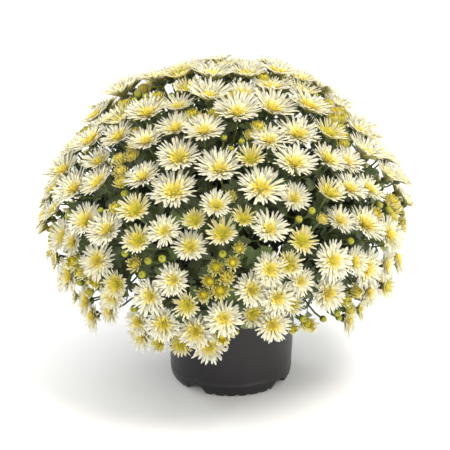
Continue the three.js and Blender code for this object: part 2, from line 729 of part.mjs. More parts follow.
// The mix fills the pot to below its rim, with a plain hole for each stem.
function pottingMixSolid(stems) {
  const innerWallAt = (z) => wallAt(z) - POT_WALL - SOIL_SHRINKAGE;
  const floor = FLOOR_THICKNESS + CLEARANCE;
  const section = [
    [0, floor],
    [FLOOR_RADIUS - SOIL_SHRINKAGE, floor],
    [innerWallAt(FLOOR_BEND_HEIGHT), FLOOR_BEND_HEIGHT + 1],
    [innerWallAt(SOIL_TOP), SOIL_TOP - 2],
    [0.9 * innerWallAt(SOIL_TOP), SOIL_TOP],
    [0, SOIL_TOP + SOIL_CROWN],
  ];
  const holes = stems.map(({ line: [start, next] }) => {
    const way = between(start, next).normalize();
    const ends = [-2 * CLEARANCE, STEM_HOLE_DEPTH + 20].map((d) => stepped(start, way, d));
    const [low, high] = tubeRings(ends, () => STEM_BASE_RADIUS + 3 * CLEARANCE, vec(0.3, 1, 0.2));
    return solidOfTriangles([[...low].reverse(), ...outgrowth(low, [high], null)]);
  });
  const turned = turnedFrom(section, SOIL_SEGMENTS).rotateX(Math.PI / 2);
  return solidOf(turned).subtract(wasm.Manifold.union(holes));
}

// ---- The assembled plant ------------------------------------------------------------------------

const leftOut = { open: 0, half_open: 0, bud: 0, leaf: 0 };
const plant = new THREE.Group();

function addPiece(name, kind, solid) {
  const look = { color: COLOURS[kind], roughness: ROUGHNESS[kind], metalness: 0 };
  const mesh = new THREE.Mesh(geometryOf(solid), new THREE.MeshStandardMaterial(look));
  mesh.name = name;
  plant.add(mesh);
}
const numbered = (spray) => String(spray + 1).padStart(2, "0");

const pot = potSolid();
keep(pot, "pot");
addPiece("pot", "pot", pot);

for (const spray of counted(SPRAYS)) {
  const own = blooms.filter((bloom) => bloom.spray === spray);
  const cut = own.map((b) => clearOfOtherSprays(b, bloomSolid(b, blooms.indexOf(b))));
  cut.forEach((solid) => keep(solid, "blooms"));
  addPiece(`spray_blooms_${numbered(spray)}`, "blooms", wasm.Manifold.union(cut));
}

const stems = counted(SPRAYS).map(startStem);
for (const stem of stems) keep(solidOfTriangles(stem.triangles), stem.owner);
stems.forEach(growStalks);
stems.forEach(growLeaves);
for (const stem of stems)
  addPiece(`leafy_stem_${numbered(stem.spray)}`, "leafy", solidOfTriangles(stem.triangles));
addPiece("potting_mix", "potting_mix", pottingMixSolid(stems));
console.log("left out for want of room:", leftOut);

plant.position.set(POT_AXIS.x, POT_AXIS.y, 0);

export default plant;
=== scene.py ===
"""Pot chrysanthemum: a garden mum in full flower in its nursery pot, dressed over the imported
model. The flowers, stems and leaves stand where the model's own solids stand."""

import math
from functools import partial
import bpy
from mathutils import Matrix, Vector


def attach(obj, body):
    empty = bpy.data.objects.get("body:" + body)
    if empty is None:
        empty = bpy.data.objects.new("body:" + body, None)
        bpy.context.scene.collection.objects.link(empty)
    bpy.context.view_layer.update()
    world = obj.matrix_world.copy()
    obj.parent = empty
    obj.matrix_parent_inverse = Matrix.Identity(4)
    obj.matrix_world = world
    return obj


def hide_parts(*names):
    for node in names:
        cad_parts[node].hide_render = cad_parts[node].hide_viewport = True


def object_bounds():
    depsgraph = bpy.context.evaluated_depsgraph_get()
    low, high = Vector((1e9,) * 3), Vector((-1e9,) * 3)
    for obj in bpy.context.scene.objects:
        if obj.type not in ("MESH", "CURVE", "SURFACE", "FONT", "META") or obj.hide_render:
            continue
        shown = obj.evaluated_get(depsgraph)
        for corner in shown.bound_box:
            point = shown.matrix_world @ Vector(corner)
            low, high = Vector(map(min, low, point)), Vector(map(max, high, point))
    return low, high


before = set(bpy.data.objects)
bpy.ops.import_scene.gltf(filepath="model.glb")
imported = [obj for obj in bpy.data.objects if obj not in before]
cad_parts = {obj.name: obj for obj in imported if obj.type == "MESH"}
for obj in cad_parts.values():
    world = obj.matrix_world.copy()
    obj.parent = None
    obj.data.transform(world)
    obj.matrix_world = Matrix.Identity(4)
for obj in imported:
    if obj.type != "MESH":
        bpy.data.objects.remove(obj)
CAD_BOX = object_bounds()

from types import SimpleNamespace

import bmesh
import bpy
import numpy as np
from mathutils import Color, Vector

bl_info = {
    "name": "Pot Chrysanthemum",
    "version": (1, 0, 0),
    "blender": (4, 5, 0),
    "location": "View3D > Sidebar > Chrysanthemum",
    "description": "Builds a garden chrysanthemum in flower, in its nursery pot",
    "category": "Add Mesh",
}

MM = 0.001
TURN = 2 * math.pi
GOLDEN = math.pi * (3 - math.sqrt(5))
UP = np.array([0.0, 0.0, 1.0])

# ---- The plan of the plant, in millimetres from the pot's axis ----------------------------------
# These are the model's own driving dimensions, so that each piece lands on the solid it dresses.

POT_AXIS = np.array([12.2, -4.2, 0.0])
PLANT_LEAN = -9.2  # the dome's axis from the pot's, along X
POT_HEIGHT = 165
POT_BASE_RADIUS = 93
POT_TOP_RADIUS = 100.5
POT_WALL = 1.8
LIP_HEIGHT = 13
LIP_STEP = 2.4
FLOOR_THICKNESS = 2.5
FLOOR_RADIUS = 80
FLOOR_BEND_HEIGHT = 12
UNDERSIDE_RADIUS = 84
CORNER_INSET = 3.5
FOOT_HEIGHT = 3.2
FOOT_UNEVENNESS = 1.0
NOTCH_TURN = 54  # this and the next two in degrees
NOTCH_HALF_ANGLE = 11.5
NOTCH_SHOULDER = 6
NOTCH_HEIGHT = 10
NOTCH_DEPTH_RADIUS = 60
NOTCH_FADE = 8
NOTCH_REACH = 15  # up the wall
FOOT_REACH = 10
SOIL_TOP = 140
SOIL_CROWN = 4
SOIL_SHRINKAGE = 1.2

WAIST_HEIGHT = 285
WAIST_RADIUS = 264
DOME_RISE = 197
DOME_POWER = 1.5
SKIRT_DROP = 232
SKIRT_POWER = 0.89
SKIRT_END = math.radians(128)
NORMAL_STEP = 0.01

LAYOUT_SEED = 25
SPRAYS = 26
BLOOMS_PER_SPRAY = 9
EXTRA_BLOOM_CHANCE = 0.8
SPRAY_PHASE = 3.338
SPRAY_START = 0.4
SPRAY_SPREAD = 33
MAX_LINKS = 2
BLOOM_RADIUS = 18.5
BLOOM_RADIUS_RANGE = 8.5
SKIRT_SIZE = 0.9
TOP_SIZE_GAIN = 0.25
OPENING_CHANCE = 0.25
OPENING_SIZE = 0.75
LINKED_SPACING = 0.92
LOOSE_SPACING_TOP = 1.0
LOOSE_SPACING_SKIRT = 1.35
SETTLING_STEPS = 220
SETTLING_GAIN = 0.17
BLOOM_LIFT = 14
NORMAL_PULL = 0.75
UPWARD_PULL = 0.36
LOWEST_FACING = 0.05
FACING_JITTER = 0.26
LEAST_CUP = 0.06
CUP_RANGE = 0.36
OPENING_CUP = 0.3
BLOOM_DEPTH = 9
STALK_CLEARANCE = 0.6

GAP_CANDIDATES = 1500
HALF_OPEN_COUNT = 64
HALF_OPEN_RADIUS = 10.5
BUD_COUNT = 48
BUD_RADIUS = 4.6
SMALL_SIZE_RANGE = 0.35
GAP_LOWEST = 0.94
GAP_CHOICE = 120
MORE_AT_TOP = 9
GAP_SINK = 5

STEM_SPREAD = 73
STEM_HUB_DEPTH = 66
STEM_HOLE_DEPTH = 34
STEM_BASE_RADIUS = 4
STEM_TOP_RADIUS = 2.6
STEM_FLARE = 1.08
STEM_BEND_SHARE = 0.55
LOW_HUB = 60
LOW_BEND = 66
STALK_RADIUS = 1.4
STALK_STEP = 0.025
STALK_POINTS = 8
STALK_HANDLE = 0.3
LEAF_KEEL = 1.7
LEAF_TIP_DROP = 0.13
LAST_LEAF_SECTION = (0.79, 0.16, -0.05)  # how far along, its half width and its lift


def unit(v):
    """Vectors with a length of 1, or of 0 where they had none."""
    return v / np.maximum(np.linalg.norm(v, axis=-1, keepdims=True), 1e-9)


def seeded_random(seed):
    """The model's own generator of numbers from 0 to 1."""
    state = seed & 0xFFFFFFFF

    def draw():
        nonlocal state
        state = (state + 0x6D2B79F5) & 0xFFFFFFFF
        t = ((state ^ (state >> 15)) * (state | 1)) & 0xFFFFFFFF
        t = ((t + (((t ^ (t >> 7)) * (t | 61)) & 0xFFFFFFFF)) & 0xFFFFFFFF) ^ t
        return ((t ^ (t >> 14)) & 0xFFFFFFFF) / 4294967296

    return draw


def scatter(draw):
    return np.array([draw() - 0.5, draw() - 0.5, draw() - 0.5])


def perpendiculars(axis):
    side = unit(np.cross(np.where(np.abs(axis[..., 2:]) < 0.9, UP, [1.0, 0.0, 0.0]), axis))
    return side, np.cross(axis, side)


def ways_around(axis, angle):
    """The ways square to an axis, or to an axis each, at angles round it."""
    side, other = perpendiculars(axis)
    return np.cos(angle)[:, None] * side + np.sin(angle)[:, None] * other


def drawn_curve(start, bend, end, t):
    """Points at t on curves from start to end, drawn toward bend between them."""
    return (1 - t) ** 2 * start + 2 * t * (1 - t) * bend + t * t * end


def at_azimuth(azimuth, radius, height):
    return np.stack([radius * np.cos(azimuth), radius * np.sin(azimuth), height], axis=-1)


def profile_at(angle):
    """The flowering surface's radius and height at an angle from straight up."""
    across = np.cos(angle)
    dome = DOME_RISE * np.maximum(across, 0) ** DOME_POWER
    skirt = SKIRT_DROP * np.maximum(-across, 0) ** SKIRT_POWER
    return WAIST_RADIUS * np.sin(angle), WAIST_HEIGHT + dome - skirt


def surface_point(angle, azimuth):
    return at_azimuth(azimuth, *profile_at(angle))


def surface_place(points):
    """How far out and how far up points lie, as shares that are 1 together on the surface."""
    rise = points[..., 2] - WAIST_HEIGHT
    dome = (np.maximum(rise, 0) / DOME_RISE) ** (1 / DOME_POWER)
    skirt = (np.maximum(-rise, 0) / SKIRT_DROP) ** (1 / SKIRT_POWER)
    return np.hypot(points[..., 0], points[..., 1]) / WAIST_RADIUS, dome - skirt


def angles_of(points):
    """Points' angles from straight up on the surface, and their azimuths."""
    angle = np.minimum(np.arctan2(*surface_place(points)), SKIRT_END)
    return angle, np.arctan2(points[..., 1], points[..., 0])


def surface_normal(angle, azimuth):
    above_radius, above_height = profile_at(np.maximum(angle - NORMAL_STEP, 0))
    below_radius, below_height = profile_at(angle + NORMAL_STEP)
    out, up = above_height - below_height, below_radius - above_radius
    length = np.hypot(out, up)
    return at_azimuth(azimuth, out / length, up / length)


def share_angles():
    """A function that gives the angle above which a share of the surface's area lies."""
    angles = np.linspace(0, SKIRT_END, 401)
    radius, height = profile_at(angles)
    slant = np.hypot(np.diff(radius), np.diff(height))
    above = np.concatenate([[0], np.cumsum(slant * (radius[1:] + radius[:-1]) / 2)])
    return lambda share: np.interp(share * above[-1], above, angles)


angle_at_share = share_angles()


def spray_angles(spray):
    """A spray's angle from straight up, even by area, and its azimuth, by the golden angle."""
    share = (spray + SPRAY_START) / (SPRAYS + SPRAY_START + 0.5)
    return float(angle_at_share(share)), spray * GOLDEN + SPRAY_PHASE


def plant_sprays(draw):
    """The open blooms, each spray's round its place on the dome, linked to their neighbours."""
    blooms = []
    for spray in range(SPRAYS):
        middle = surface_point(*spray_angles(spray))
        east, north = perpendiculars(surface_normal(*spray_angles(spray)))
        own = []
        count = BLOOMS_PER_SPRAY + (draw() < EXTRA_BLOOM_CHANCE)
        for b in range(count):
            opening = draw() < OPENING_CHANCE
            size = BLOOM_RADIUS + BLOOM_RADIUS_RANGE * draw()
            size = size * (SKIRT_SIZE + TOP_SIZE_GAIN * middle[2] / (WAIST_HEIGHT + DOME_RISE))
            radius = size * (OPENING_SIZE if opening else 1)
            turn = b * GOLDEN + spray + 0.9 * draw()
            reach = SPRAY_SPREAD * math.sqrt(b)
            start = middle + reach * (math.cos(turn) * east + math.sin(turn) * north)
            bloom = SimpleNamespace(kind="open", spray=spray, radius=radius, opening=opening)
            bloom.number = len(blooms) + b
            bloom.place = surface_point(*angles_of(start))
            bloom.lift = BLOOM_LIFT * (draw() - 0.5)
            bloom.jitter = scatter(draw)
            bloom.cup = LEAST_CUP + CUP_RANGE * draw() + (OPENING_CUP if opening else 0)
            bloom.links = []
            free = [other for other in own if len(other.links) < MAX_LINKS]
            if free:
                parent = min(free, key=lambda o: np.linalg.norm(o.place - bloom.place))
                bloom.links.append(parent)
                parent.links.append(bloom)
            own.append(bloom)
        blooms += own
    return blooms


def settle(blooms):
    """Linked blooms draw together until their petals interlock, and all others move apart."""
    place = np.array([bloom.place for bloom in blooms])
    radius = np.array([bloom.radius for bloom in blooms])
    linked = np.zeros((len(blooms), len(blooms)), bool)
    for bloom in blooms:
        linked[bloom.number, [other.number for other in bloom.links]] = True
    reach = radius[:, None] + radius
    for _ in range(SETTLING_STEPS):
        height = (place[:, None, 2] + place[:, 2]) / 2
        share = height / (WAIST_HEIGHT + DOME_RISE)
        loose = LOOSE_SPACING_SKIRT + (LOOSE_SPACING_TOP - LOOSE_SPACING_SKIRT) * share
        rest = reach * np.where(linked, LINKED_SPACING, loose)
        apart = place[:, None] - place
        distance = np.linalg.norm(apart, axis=-1)
        push = SETTLING_GAIN * (rest - distance) / np.maximum(distance, 1)
        push[~(linked | (distance < rest))] = 0
        np.fill_diagonal(push, 0)
        place = surface_point(*angles_of(place + (push[..., None] * apart).sum(1)))
    for bloom, settled in zip(blooms, place):
        bloom.place = settled


def seat(flower, lift):
    """Gives a flower its seat over the surface and the way that it faces."""
    normal = surface_normal(*angles_of(flower.place))
    axis = NORMAL_PULL * normal + UPWARD_PULL * UP + FACING_JITTER * flower.jitter
    axis[2] = max(axis[2], LOWEST_FACING * math.hypot(axis[0], axis[1]))
    flower.axis = unit(axis)
    flower.centre = flower.place + lift * normal + [PLANT_LEAN, 0, 0]


def fill_gaps(blooms, draw, more):
    """The model's half-open blooms and then its buds, each somewhere among the widest gaps, and
    then some more of both."""
    numbers = np.arange(GAP_CANDIDATES)
    shares = GAP_LOWEST * (numbers + 0.5) / GAP_CANDIDATES
    spots = surface_point(angle_at_share(shares), numbers * GOLDEN)
    gaps = np.full(GAP_CANDIDATES, np.inf)
    bloom_places = np.array([bloom.place for bloom in blooms])

    def narrow(flower):
        away = np.linalg.norm(spots - flower.place, axis=1) - flower.radius
        np.minimum(gaps, away, out=gaps)

    for bloom in blooms:
        narrow(bloom)
    kinds = ["half_open"] * HALF_OPEN_COUNT + ["bud"] * BUD_COUNT
    kinds += [("half_open", "half_open", "bud")[i % 3] for i in range(more)]
    small = []
    own = HALF_OPEN_COUNT + BUD_COUNT
    for number, kind in enumerate(kinds):
        wish = gaps if number < own else gaps + MORE_AT_TOP * spots[:, 2] / WAIST_HEIGHT
        size = BUD_RADIUS if kind == "bud" else HALF_OPEN_RADIUS
        radius = size * (1 + SMALL_SIZE_RANGE * (draw() - 0.5))
        place = spots[np.argsort(-wish, kind="stable")[int(GAP_CHOICE * draw())]]
        nearest = blooms[np.argmin(np.linalg.norm(bloom_places - place, axis=1))]
        flower = SimpleNamespace(kind=kind, spray=nearest.spray, radius=radius, place=place)
        flower.jitter = scatter(draw)
        seat(flower, -GAP_SINK * draw())
        narrow(flower)
        small.append(flower)
    return small


def lay_out_flowers(more):
    draw = seeded_random(LAYOUT_SEED)
    blooms = plant_sprays(draw)
    settle(blooms)
    for bloom in blooms:
        seat(bloom, bloom.lift)
    return blooms + fill_gaps(blooms, draw, more)


def stem_curve(spray):
    """A function that gives points of a leafy stem at shares of its length."""
    angle, azimuth = spray_angles(spray)
    hub = surface_point(angle, azimuth) - STEM_HUB_DEPTH * surface_normal(angle, azimuth)
    hub[0] += PLANT_LEAN
    foot = STEM_SPREAD * math.sqrt((spray + 0.6) / SPRAYS)
    start = at_azimuth(azimuth, foot, SOIL_TOP - STEM_HOLE_DEPTH)
    bend = STEM_FLARE * start
    bend[2] = SOIL_TOP + STEM_BEND_SHARE * (hub[2] - SOIL_TOP)
    if hub[2] < POT_HEIGHT + LOW_HUB:
        bend[2] = POT_HEIGHT + LOW_BEND

    at = partial(drawn_curve, start, bend, hub)
    even = np.linspace(0, 1, 201)
    steps = np.linalg.norm(np.diff(at(even[:, None]), axis=0), axis=1)
    gone = np.concatenate([[0], np.cumsum(steps)])
    return lambda shares: at(np.interp(np.asarray(shares) * gone[-1], gone, even)[..., None])


def stalk_end(flower):
    """How far below its middle a flower sits on its stalk."""
    if flower.kind == "open":
        return BLOOM_DEPTH + STALK_CLEARANCE
    return (0.9 if flower.kind == "half_open" else 1.3) * flower.radius


def stalks_of(spray, flowers, stem):
    """Each flower's stalk as a line of points. The nearest flowers have theirs highest."""
    top, below = stem(1.0), stem(0.95)
    way = unit(top - below)
    own = [flower for flower in flowers if flower.spray == spray]
    own.sort(key=lambda f: np.linalg.norm(np.cross(f.centre - top, way)))
    t = np.linspace(0, 1, STALK_POINTS)[:, None]
    lines = []
    for i, flower in enumerate(own):
        share = 1 - STALK_STEP * i
        root = stem(share)
        end = flower.centre - stalk_end(flower) * flower.axis
        ahead = unit(stem(share + 0.01) - root) if i else way
        handle = STALK_HANDLE * np.linalg.norm(end - root)
        leaving = root + handle * unit(0.35 * ahead + unit(end - root))
        reaching = end - handle * flower.axis
        line = (1 - t) ** 3 * root + 3 * t * (1 - t) ** 2 * leaving
        line = line + 3 * t * t * (1 - t) * reaching + t**3 * end
        lines.append((flower, line))
    return lines


# ---- Skins: meshes gathered as arrays -----------------------------------------------------------

BAKE_MAP = "OFBake"
COLUMNS = 16  # of tints on a finish's map, each one petal or leaf wide
TINT_STEPS = COLUMNS - 1
BOX_GIVE = 6 * MM


def within_box(points):
    """Draws in whatever would stand out of the model's own box, over the last few millimetres."""
    low, high = (np.array(corner) for corner in CAD_BOX)
    over = np.maximum(points - (high - BOX_GIVE), 0)
    points = np.where(over > 0, high - BOX_GIVE * np.exp(-over / BOX_GIVE), points)
    over = np.maximum(low + BOX_GIVE - points, 0)
    over[:, 2] = 0
    return np.where(over > 0, low + BOX_GIVE * np.exp(-over / BOX_GIVE), points)


def placed(name, data):
    """A new object in the scene."""
    made = bpy.data.objects.new(name, data)
    bpy.context.scene.collection.objects.link(made)
    return made


class Skin:
    """One piece's points, faces, finishes and places on its map, gathered before it is made."""

    def __init__(self):
        self.points, self.corners, self.counts, self.maps, self.slots = [], [], [], [], []
        self.total = 0

    def add(self, points, slot, *groups):
        """Points with one finish, and groups of faces over them. A group is faces of as many
        corners each, as indices into points, and the corners' places on the map."""
        points = np.asarray(points, float).reshape(-1, 3)
        for faces, places in groups:
            self.corners.append((faces + self.total).ravel())
            self.counts.append(np.full(len(faces), faces.shape[1]))
            self.maps.append(places.reshape(-1, 2))
            self.slots.append(np.full(len(faces), slot))
        self.points.append(points)
        self.total += len(points)
        return points

    def make(self, name, finishes):
        """The piece as an object, in metres in the model's frame."""
        lists = (self.points, self.corners, self.counts, self.maps, self.slots)
        points, corners, counts, maps, slots = (np.concatenate(rows) for rows in lists)
        points = within_box((points + POT_AXIS) * MM)
        mesh = bpy.data.meshes.new(name)
        mesh.vertices.add(len(points))
        mesh.loops.add(len(corners))
        mesh.polygons.add(len(counts))
        for owner, key, values, kind in (
            (mesh.vertices, "co", points, np.float32),
            (mesh.loops, "vertex_index", corners, np.int32),
            (mesh.polygons, "loop_start", np.cumsum(counts) - counts, np.int32),
            (mesh.polygons, "material_index", slots, np.int32),
            (mesh.polygons, "use_smooth", np.ones(len(counts)), bool),
        ):
            owner.foreach_set(key, values.astype(kind).ravel())
        layer = mesh.uv_layers.new(name=BAKE_MAP)
        layer.uv.foreach_set("vector", maps.astype(np.float32).ravel())
        for finish in finishes:
            mesh.materials.append(finish)
        mesh.update(calc_edges=True)
        if mesh.validate():
            raise RuntimeError(f"{name} has faces that can't be kept")
        return placed(name, mesh)


def map_places(column, across, side, along):
    """Places on the map, in from the edges of a tint's column and of its upper or lower half."""
    x = (column + 0.06 + 0.88 * across) / COLUMNS
    y = (side + 0.04 + 0.92 * along) / 2
    return np.stack(np.broadcast_arrays(x, y), axis=-1)


def add_blades(skin, middles, left, right, along, column, slot):
    """Thin blades, such as petals and leaves. Each runs from its root to its tip through
    sections with two edges. middles holds the midlines above and, where backs can be seen, those
    below. They include both ends, and so does along, which gives the places as shares of the
    length. column holds each blade's tint."""
    blades, sections = left.shape[:2]
    rows = 3 * sections + 2
    shares = np.concatenate([along[:1], np.repeat(along[1:-1], 3), along[-1:]])
    across = np.concatenate([[0.5], np.tile([0, 0.5, 1], sections), [0.5]])
    sheets, places, triangles, quads = [], [], [], []
    for side, middle in enumerate(middles):
        body = np.stack([left, middle[:, 1:-1], right], axis=2)
        body = body.reshape(blades, 3 * sections, 3)
        sheets.append(np.concatenate([middle[:, :1], body, middle[:, -1:]], axis=1))
        places.append(map_places(column[:, None], across, side, shares))
        order = slice(None, None, -1 if side else 1)
        first = side * rows
        last = first + rows - 1
        for a in (0, 1):
            triangles.append([first, first + 2 + a, first + 1 + a][order])
            triangles.append([last, last - 3 + a, last - 2 + a][order])
            for i in range(sections - 1):
                low = first + 1 + 3 * i + a
                quads.append([low, low + 1, low + 4, low + 3][order])
    points = np.concatenate(sheets, axis=1)
    places = np.concatenate(places, axis=1).reshape(-1, 2)
    offset = (points.shape[1] * np.arange(blades))[:, None, None]
    groups = []
    for faces in filter(None, (triangles, quads)):
        faces = (np.array(faces) + offset).reshape(-1, len(faces[0]))
        groups.append((faces, places[faces]))
    skin.add(points, slot, *groups)


def grid_faces(rings, sides):
    """The quads between closed rings of points: their corners, and how many sides round and how
    many rings along each corner lies."""
    ring, side = (numbers.reshape(-1, 1) for numbers in np.indices((rings - 1, sides)))
    turned, on = side + [0, 1, 1, 0], ring + [0, 0, 1, 1]
    return on * sides + turned % sides, turned, on


def add_tubes(skin, lines, radii, sides, map_along, slot):
    """Round stems along lines of as many points, with closed ends."""
    count, stops = lines.shape[:2]
    tangent = unit(np.gradient(lines, axis=1))
    chord = unit(lines[:, -1] - lines[:, 0])
    reference = np.where(np.abs(chord[:, :1]) < 0.8, [1.0, 0, 0], [0, 1.0, 0])
    side = unit(np.cross(tangent, reference[:, None]))
    other = np.cross(tangent, side)
    k = np.arange(sides)
    turn = (TURN * k / sides)[:, None]
    spokes = np.cos(turn) * side[:, :, None] + np.sin(turn) * other[:, :, None]
    points = lines[:, :, None] + radii[:, None, None] * spokes
    quads, turned, on = grid_faces(stops, sides)
    caps = np.stack([k[::-1], (stops - 1) * sides + k])
    cap_on = np.broadcast_to([[0], [-1]], caps.shape)
    offset = (stops * sides * np.arange(count))[:, None, None]
    groups = []
    for faces, turned, on in ((quads, turned, on), (caps, np.stack([k, k]), cap_on)):
        places = np.stack([turned / sides, map_along[on]], axis=-1)
        faces = (faces + offset).reshape(-1, faces.shape[1])
        groups.append((faces, np.tile(places, (count, 1, 1))))
    skin.add(points, slot, *groups)


def add_turned(skin, centre, axis, section, sides, column, slot, ribs=0, rib_depth=0.0):
    """A small round body turned about an axis, from a section of radii and heights that starts
    and ends on the axis, ribbed lengthwise if wanted. Gives its points."""
    radius, height = np.asarray(section, float).T[..., None, None]
    stops = len(radius)
    k = np.arange(sides)
    turn = TURN * k / sides
    spokes = (1 + rib_depth * np.cos(ribs * turn))[:, None] * ways_around(axis, turn)
    rings = centre + radius[1:-1] * spokes + height[1:-1] * axis
    points = np.concatenate([rings.reshape(-1, 3), centre + height[[0, -1], 0] * axis])
    quads, turned, on = grid_faces(stops - 2, sides)
    after, bottom, last = (k + 1) % sides, np.full(sides, len(points) - 2), (stops - 3) * sides
    low_fan = np.stack([bottom, after, k], axis=1)
    high_fan = np.stack([last + k, last + after, bottom + 1], axis=1)
    share = np.linspace(0, 1, stops)
    groups = (
        (quads, turned, on + 1),
        (low_fan, k[:, None] + [0.5, 1, 0], [0, 1, 1]),
        (high_fan, k[:, None] + [0, 1, 0.5], [-2, -2, -1]),
    )
    groups = [(faces, map_places(column, x / sides, 0, share[y])) for faces, x, y in groups]
    return skin.add(points, slot, *groups)


# ---- Florets, flowers and leaves ----------------------------------------------------------------

PETAL_SLOT, GREEN_SLOT, LEAF_SLOT = 0, 1, 2

# A floret's sections: how far along, and its width there as a share of its widest.
LONG_FLORET = ((0.2, 0.8), (0.62, 1.0), (0.92, 0.68))
MIDDLE_FLORET = ((0.36, 0.94), (0.87, 0.8))
SHORT_FLORET = ((0.4, 0.92), (0.87, 0.84))
HEART_FLORET = ((0.6, 1.0),)
ONE_SIDED = (SHORT_FLORET, HEART_FLORET)  # packed so closely that no back shows

# The bands of florets that a flower has, from its outside at 0 to its heart at 1.
BLOOM_BANDS = (
    (0, 0.2, LONG_FLORET),
    (0.2, 0.48, MIDDLE_FLORET),
    (0.48, 0.84, SHORT_FLORET),
    (0.84, 1, HEART_FLORET),
)
HALF_OPEN_BANDS = ((0, 0.5, MIDDLE_FLORET), (0.5, 1, SHORT_FLORET))

# The closed hearts' sections, as shares of the flower's radius.
BLOOM_HEART = np.array([(0, -0.12), (0.14, -0.1), (0.21, 0.02), (0.15, 0.1), (0, 0.05)])
HALF_OPEN_HEART = np.array([(0, -0.6), (0.48, -0.42), (0.55, -0.05), (0.36, 0.18), (0, 0.24)])

SWAY = 0.1  # of a floret's length, to either side
TWIST = 0.15
CURL = 0.22  # how deep a floret's channel is, as a share of its half width
HALF_OPEN_CURL = 0.45
CUP_SIDES, BLOOM_HEART_SIDES, HALF_OPEN_HEART_SIDES = 8, 8, 10
BUD_RIBS, BUD_RIB_DEPTH = 11, 0.055


def fanned_lines(flower, angle, root, bend, tip, t):
    """Lines that fan out round a flower's axis, each with its ways outward and sideways. root,
    bend and tip hold distances from the axis and heights."""
    outward = ways_around(flower.axis, angle)
    path = drawn_curve(root[:, None], bend[:, None], tip[:, None], t)
    lines = flower.centre + path[..., :1] * outward[:, None] + path[..., 1:] * flower.axis
    return lines, outward[:, None], np.cross(flower.axis, outward)[:, None]


def add_florets(skin, flower, bands, s, angle, shape, width, age, curl, draw):
    """A flower's ray florets, s from its outside to its heart. shape holds their roots, bends
    and tips as shares of the flower's radius. Gives the heart's tint."""
    column = np.clip(np.round(age * TINT_STEPS), 1, TINT_STEPS)
    for start, end, sections in bands:
        band = (s >= start) & (s < end)
        root, bend, tip = (part[band] * flower.radius for part in shape)
        t = np.array([0.0, *(place for place, _ in sections), 1.0])[:, None]
        breadth = np.array([0, *(wide for _, wide in sections), 0])
        line, outward, across = fanned_lines(flower, angle[band], root, bend, tip, t)
        slope = unit(2 * (1 - t) * (bend - root)[:, None] + 2 * t * (tip - bend)[:, None])
        sway = np.linalg.norm(tip - root, axis=1) * SWAY * draw.uniform(-1, 1, len(root))
        line = line + (sway[:, None] * t[:, 0] ** 2)[..., None] * across
        normal = slope[..., :1] * flower.axis - slope[..., 1:] * outward
        twist = draw.normal(0, TWIST, len(root))[:, None, None]
        side = np.cos(twist) * across + np.sin(twist) * normal
        normal = np.cos(twist) * normal - np.sin(twist) * across
        half = (width[band, None] * breadth)[..., None]
        raised = line + 0.5 * curl * half * normal
        left, right = (raised - half * side)[:, 1:-1], (raised + half * side)[:, 1:-1]
        mid = line - curl * half * normal
        under = mid - np.where(half > 0, np.minimum(0.12 + 0.12 * half, 0.5), 0) * normal
        middles = (mid,) if sections in ONE_SIDED else (mid, under)
        add_blades(skin, middles, left, right, t[:, 0], column[band], PETAL_SLOT)
    return column[-1]


def add_bloom(skin, bloom, florets, floret_width, draw):
    """An open double bloom: a spiral of ray florets in a shallow bowl, the outer ones long and
    level, the inner ones shorter and more upright round a closed heart, over a green cup."""
    size = bloom.radius
    count = int(florets * (0.8 if bloom.opening else 1))
    k = np.arange(count)
    s = (k + 0.5) / count
    angle = k * GOLDEN + draw.uniform(0, TURN) + draw.normal(0, 0.09, count)
    ripe = draw.uniform(0.54, 0.72) if bloom.opening else draw.uniform(0.87, 1.04)
    root = np.stack([0.15 * (1 - s) ** 0.8, -0.15 + 0.13 * s], axis=1)
    skyward = max(bloom.axis[2], 0) ** 2
    reach = 1.09 + 0.1 * skyward - (1.03 + 0.06 * skyward) * s**1.5
    reach = reach * (1 + draw.normal(0, 0.05, count))
    lift = 0.36 * s**0.7 * (1 - s) ** 0.45 + 0.1 * s - 0.06 * (1 - s) ** 2
    cup = bloom.cup + 0.36 * skyward
    lift = lift + cup * (1 - s) ** 1.6 + draw.normal(0, 0.045, count) * (1 - 0.5 * s)
    tip = np.stack([reach, lift], axis=1)
    bend = root + 0.5 * (tip - root) + np.stack([-0.05 * (1 - s), 0.13 - 0.08 * s], axis=1)
    width = floret_width / 2 * (size / BLOOM_RADIUS) * (1.03 - 0.2 * s)
    width = width * (1 + draw.normal(0, 0.09, count))
    age = ripe - 0.15 * s - 0.48 * np.clip(2 * s - 0.8, 0, 1) ** 1.3 + draw.normal(0, 0.03, count)
    shape = (root, bend, tip)
    tint = add_florets(skin, bloom, BLOOM_BANDS, s, angle, shape, width, age, CURL, draw)
    section, sides = BLOOM_HEART * size, BLOOM_HEART_SIDES
    add_turned(skin, bloom.centre, bloom.axis, section, sides, tint, PETAL_SLOT)
    add_cup(skin, bloom, 0.235 * size, -BLOOM_DEPTH - 0.4, -0.1 * size, 6, draw)


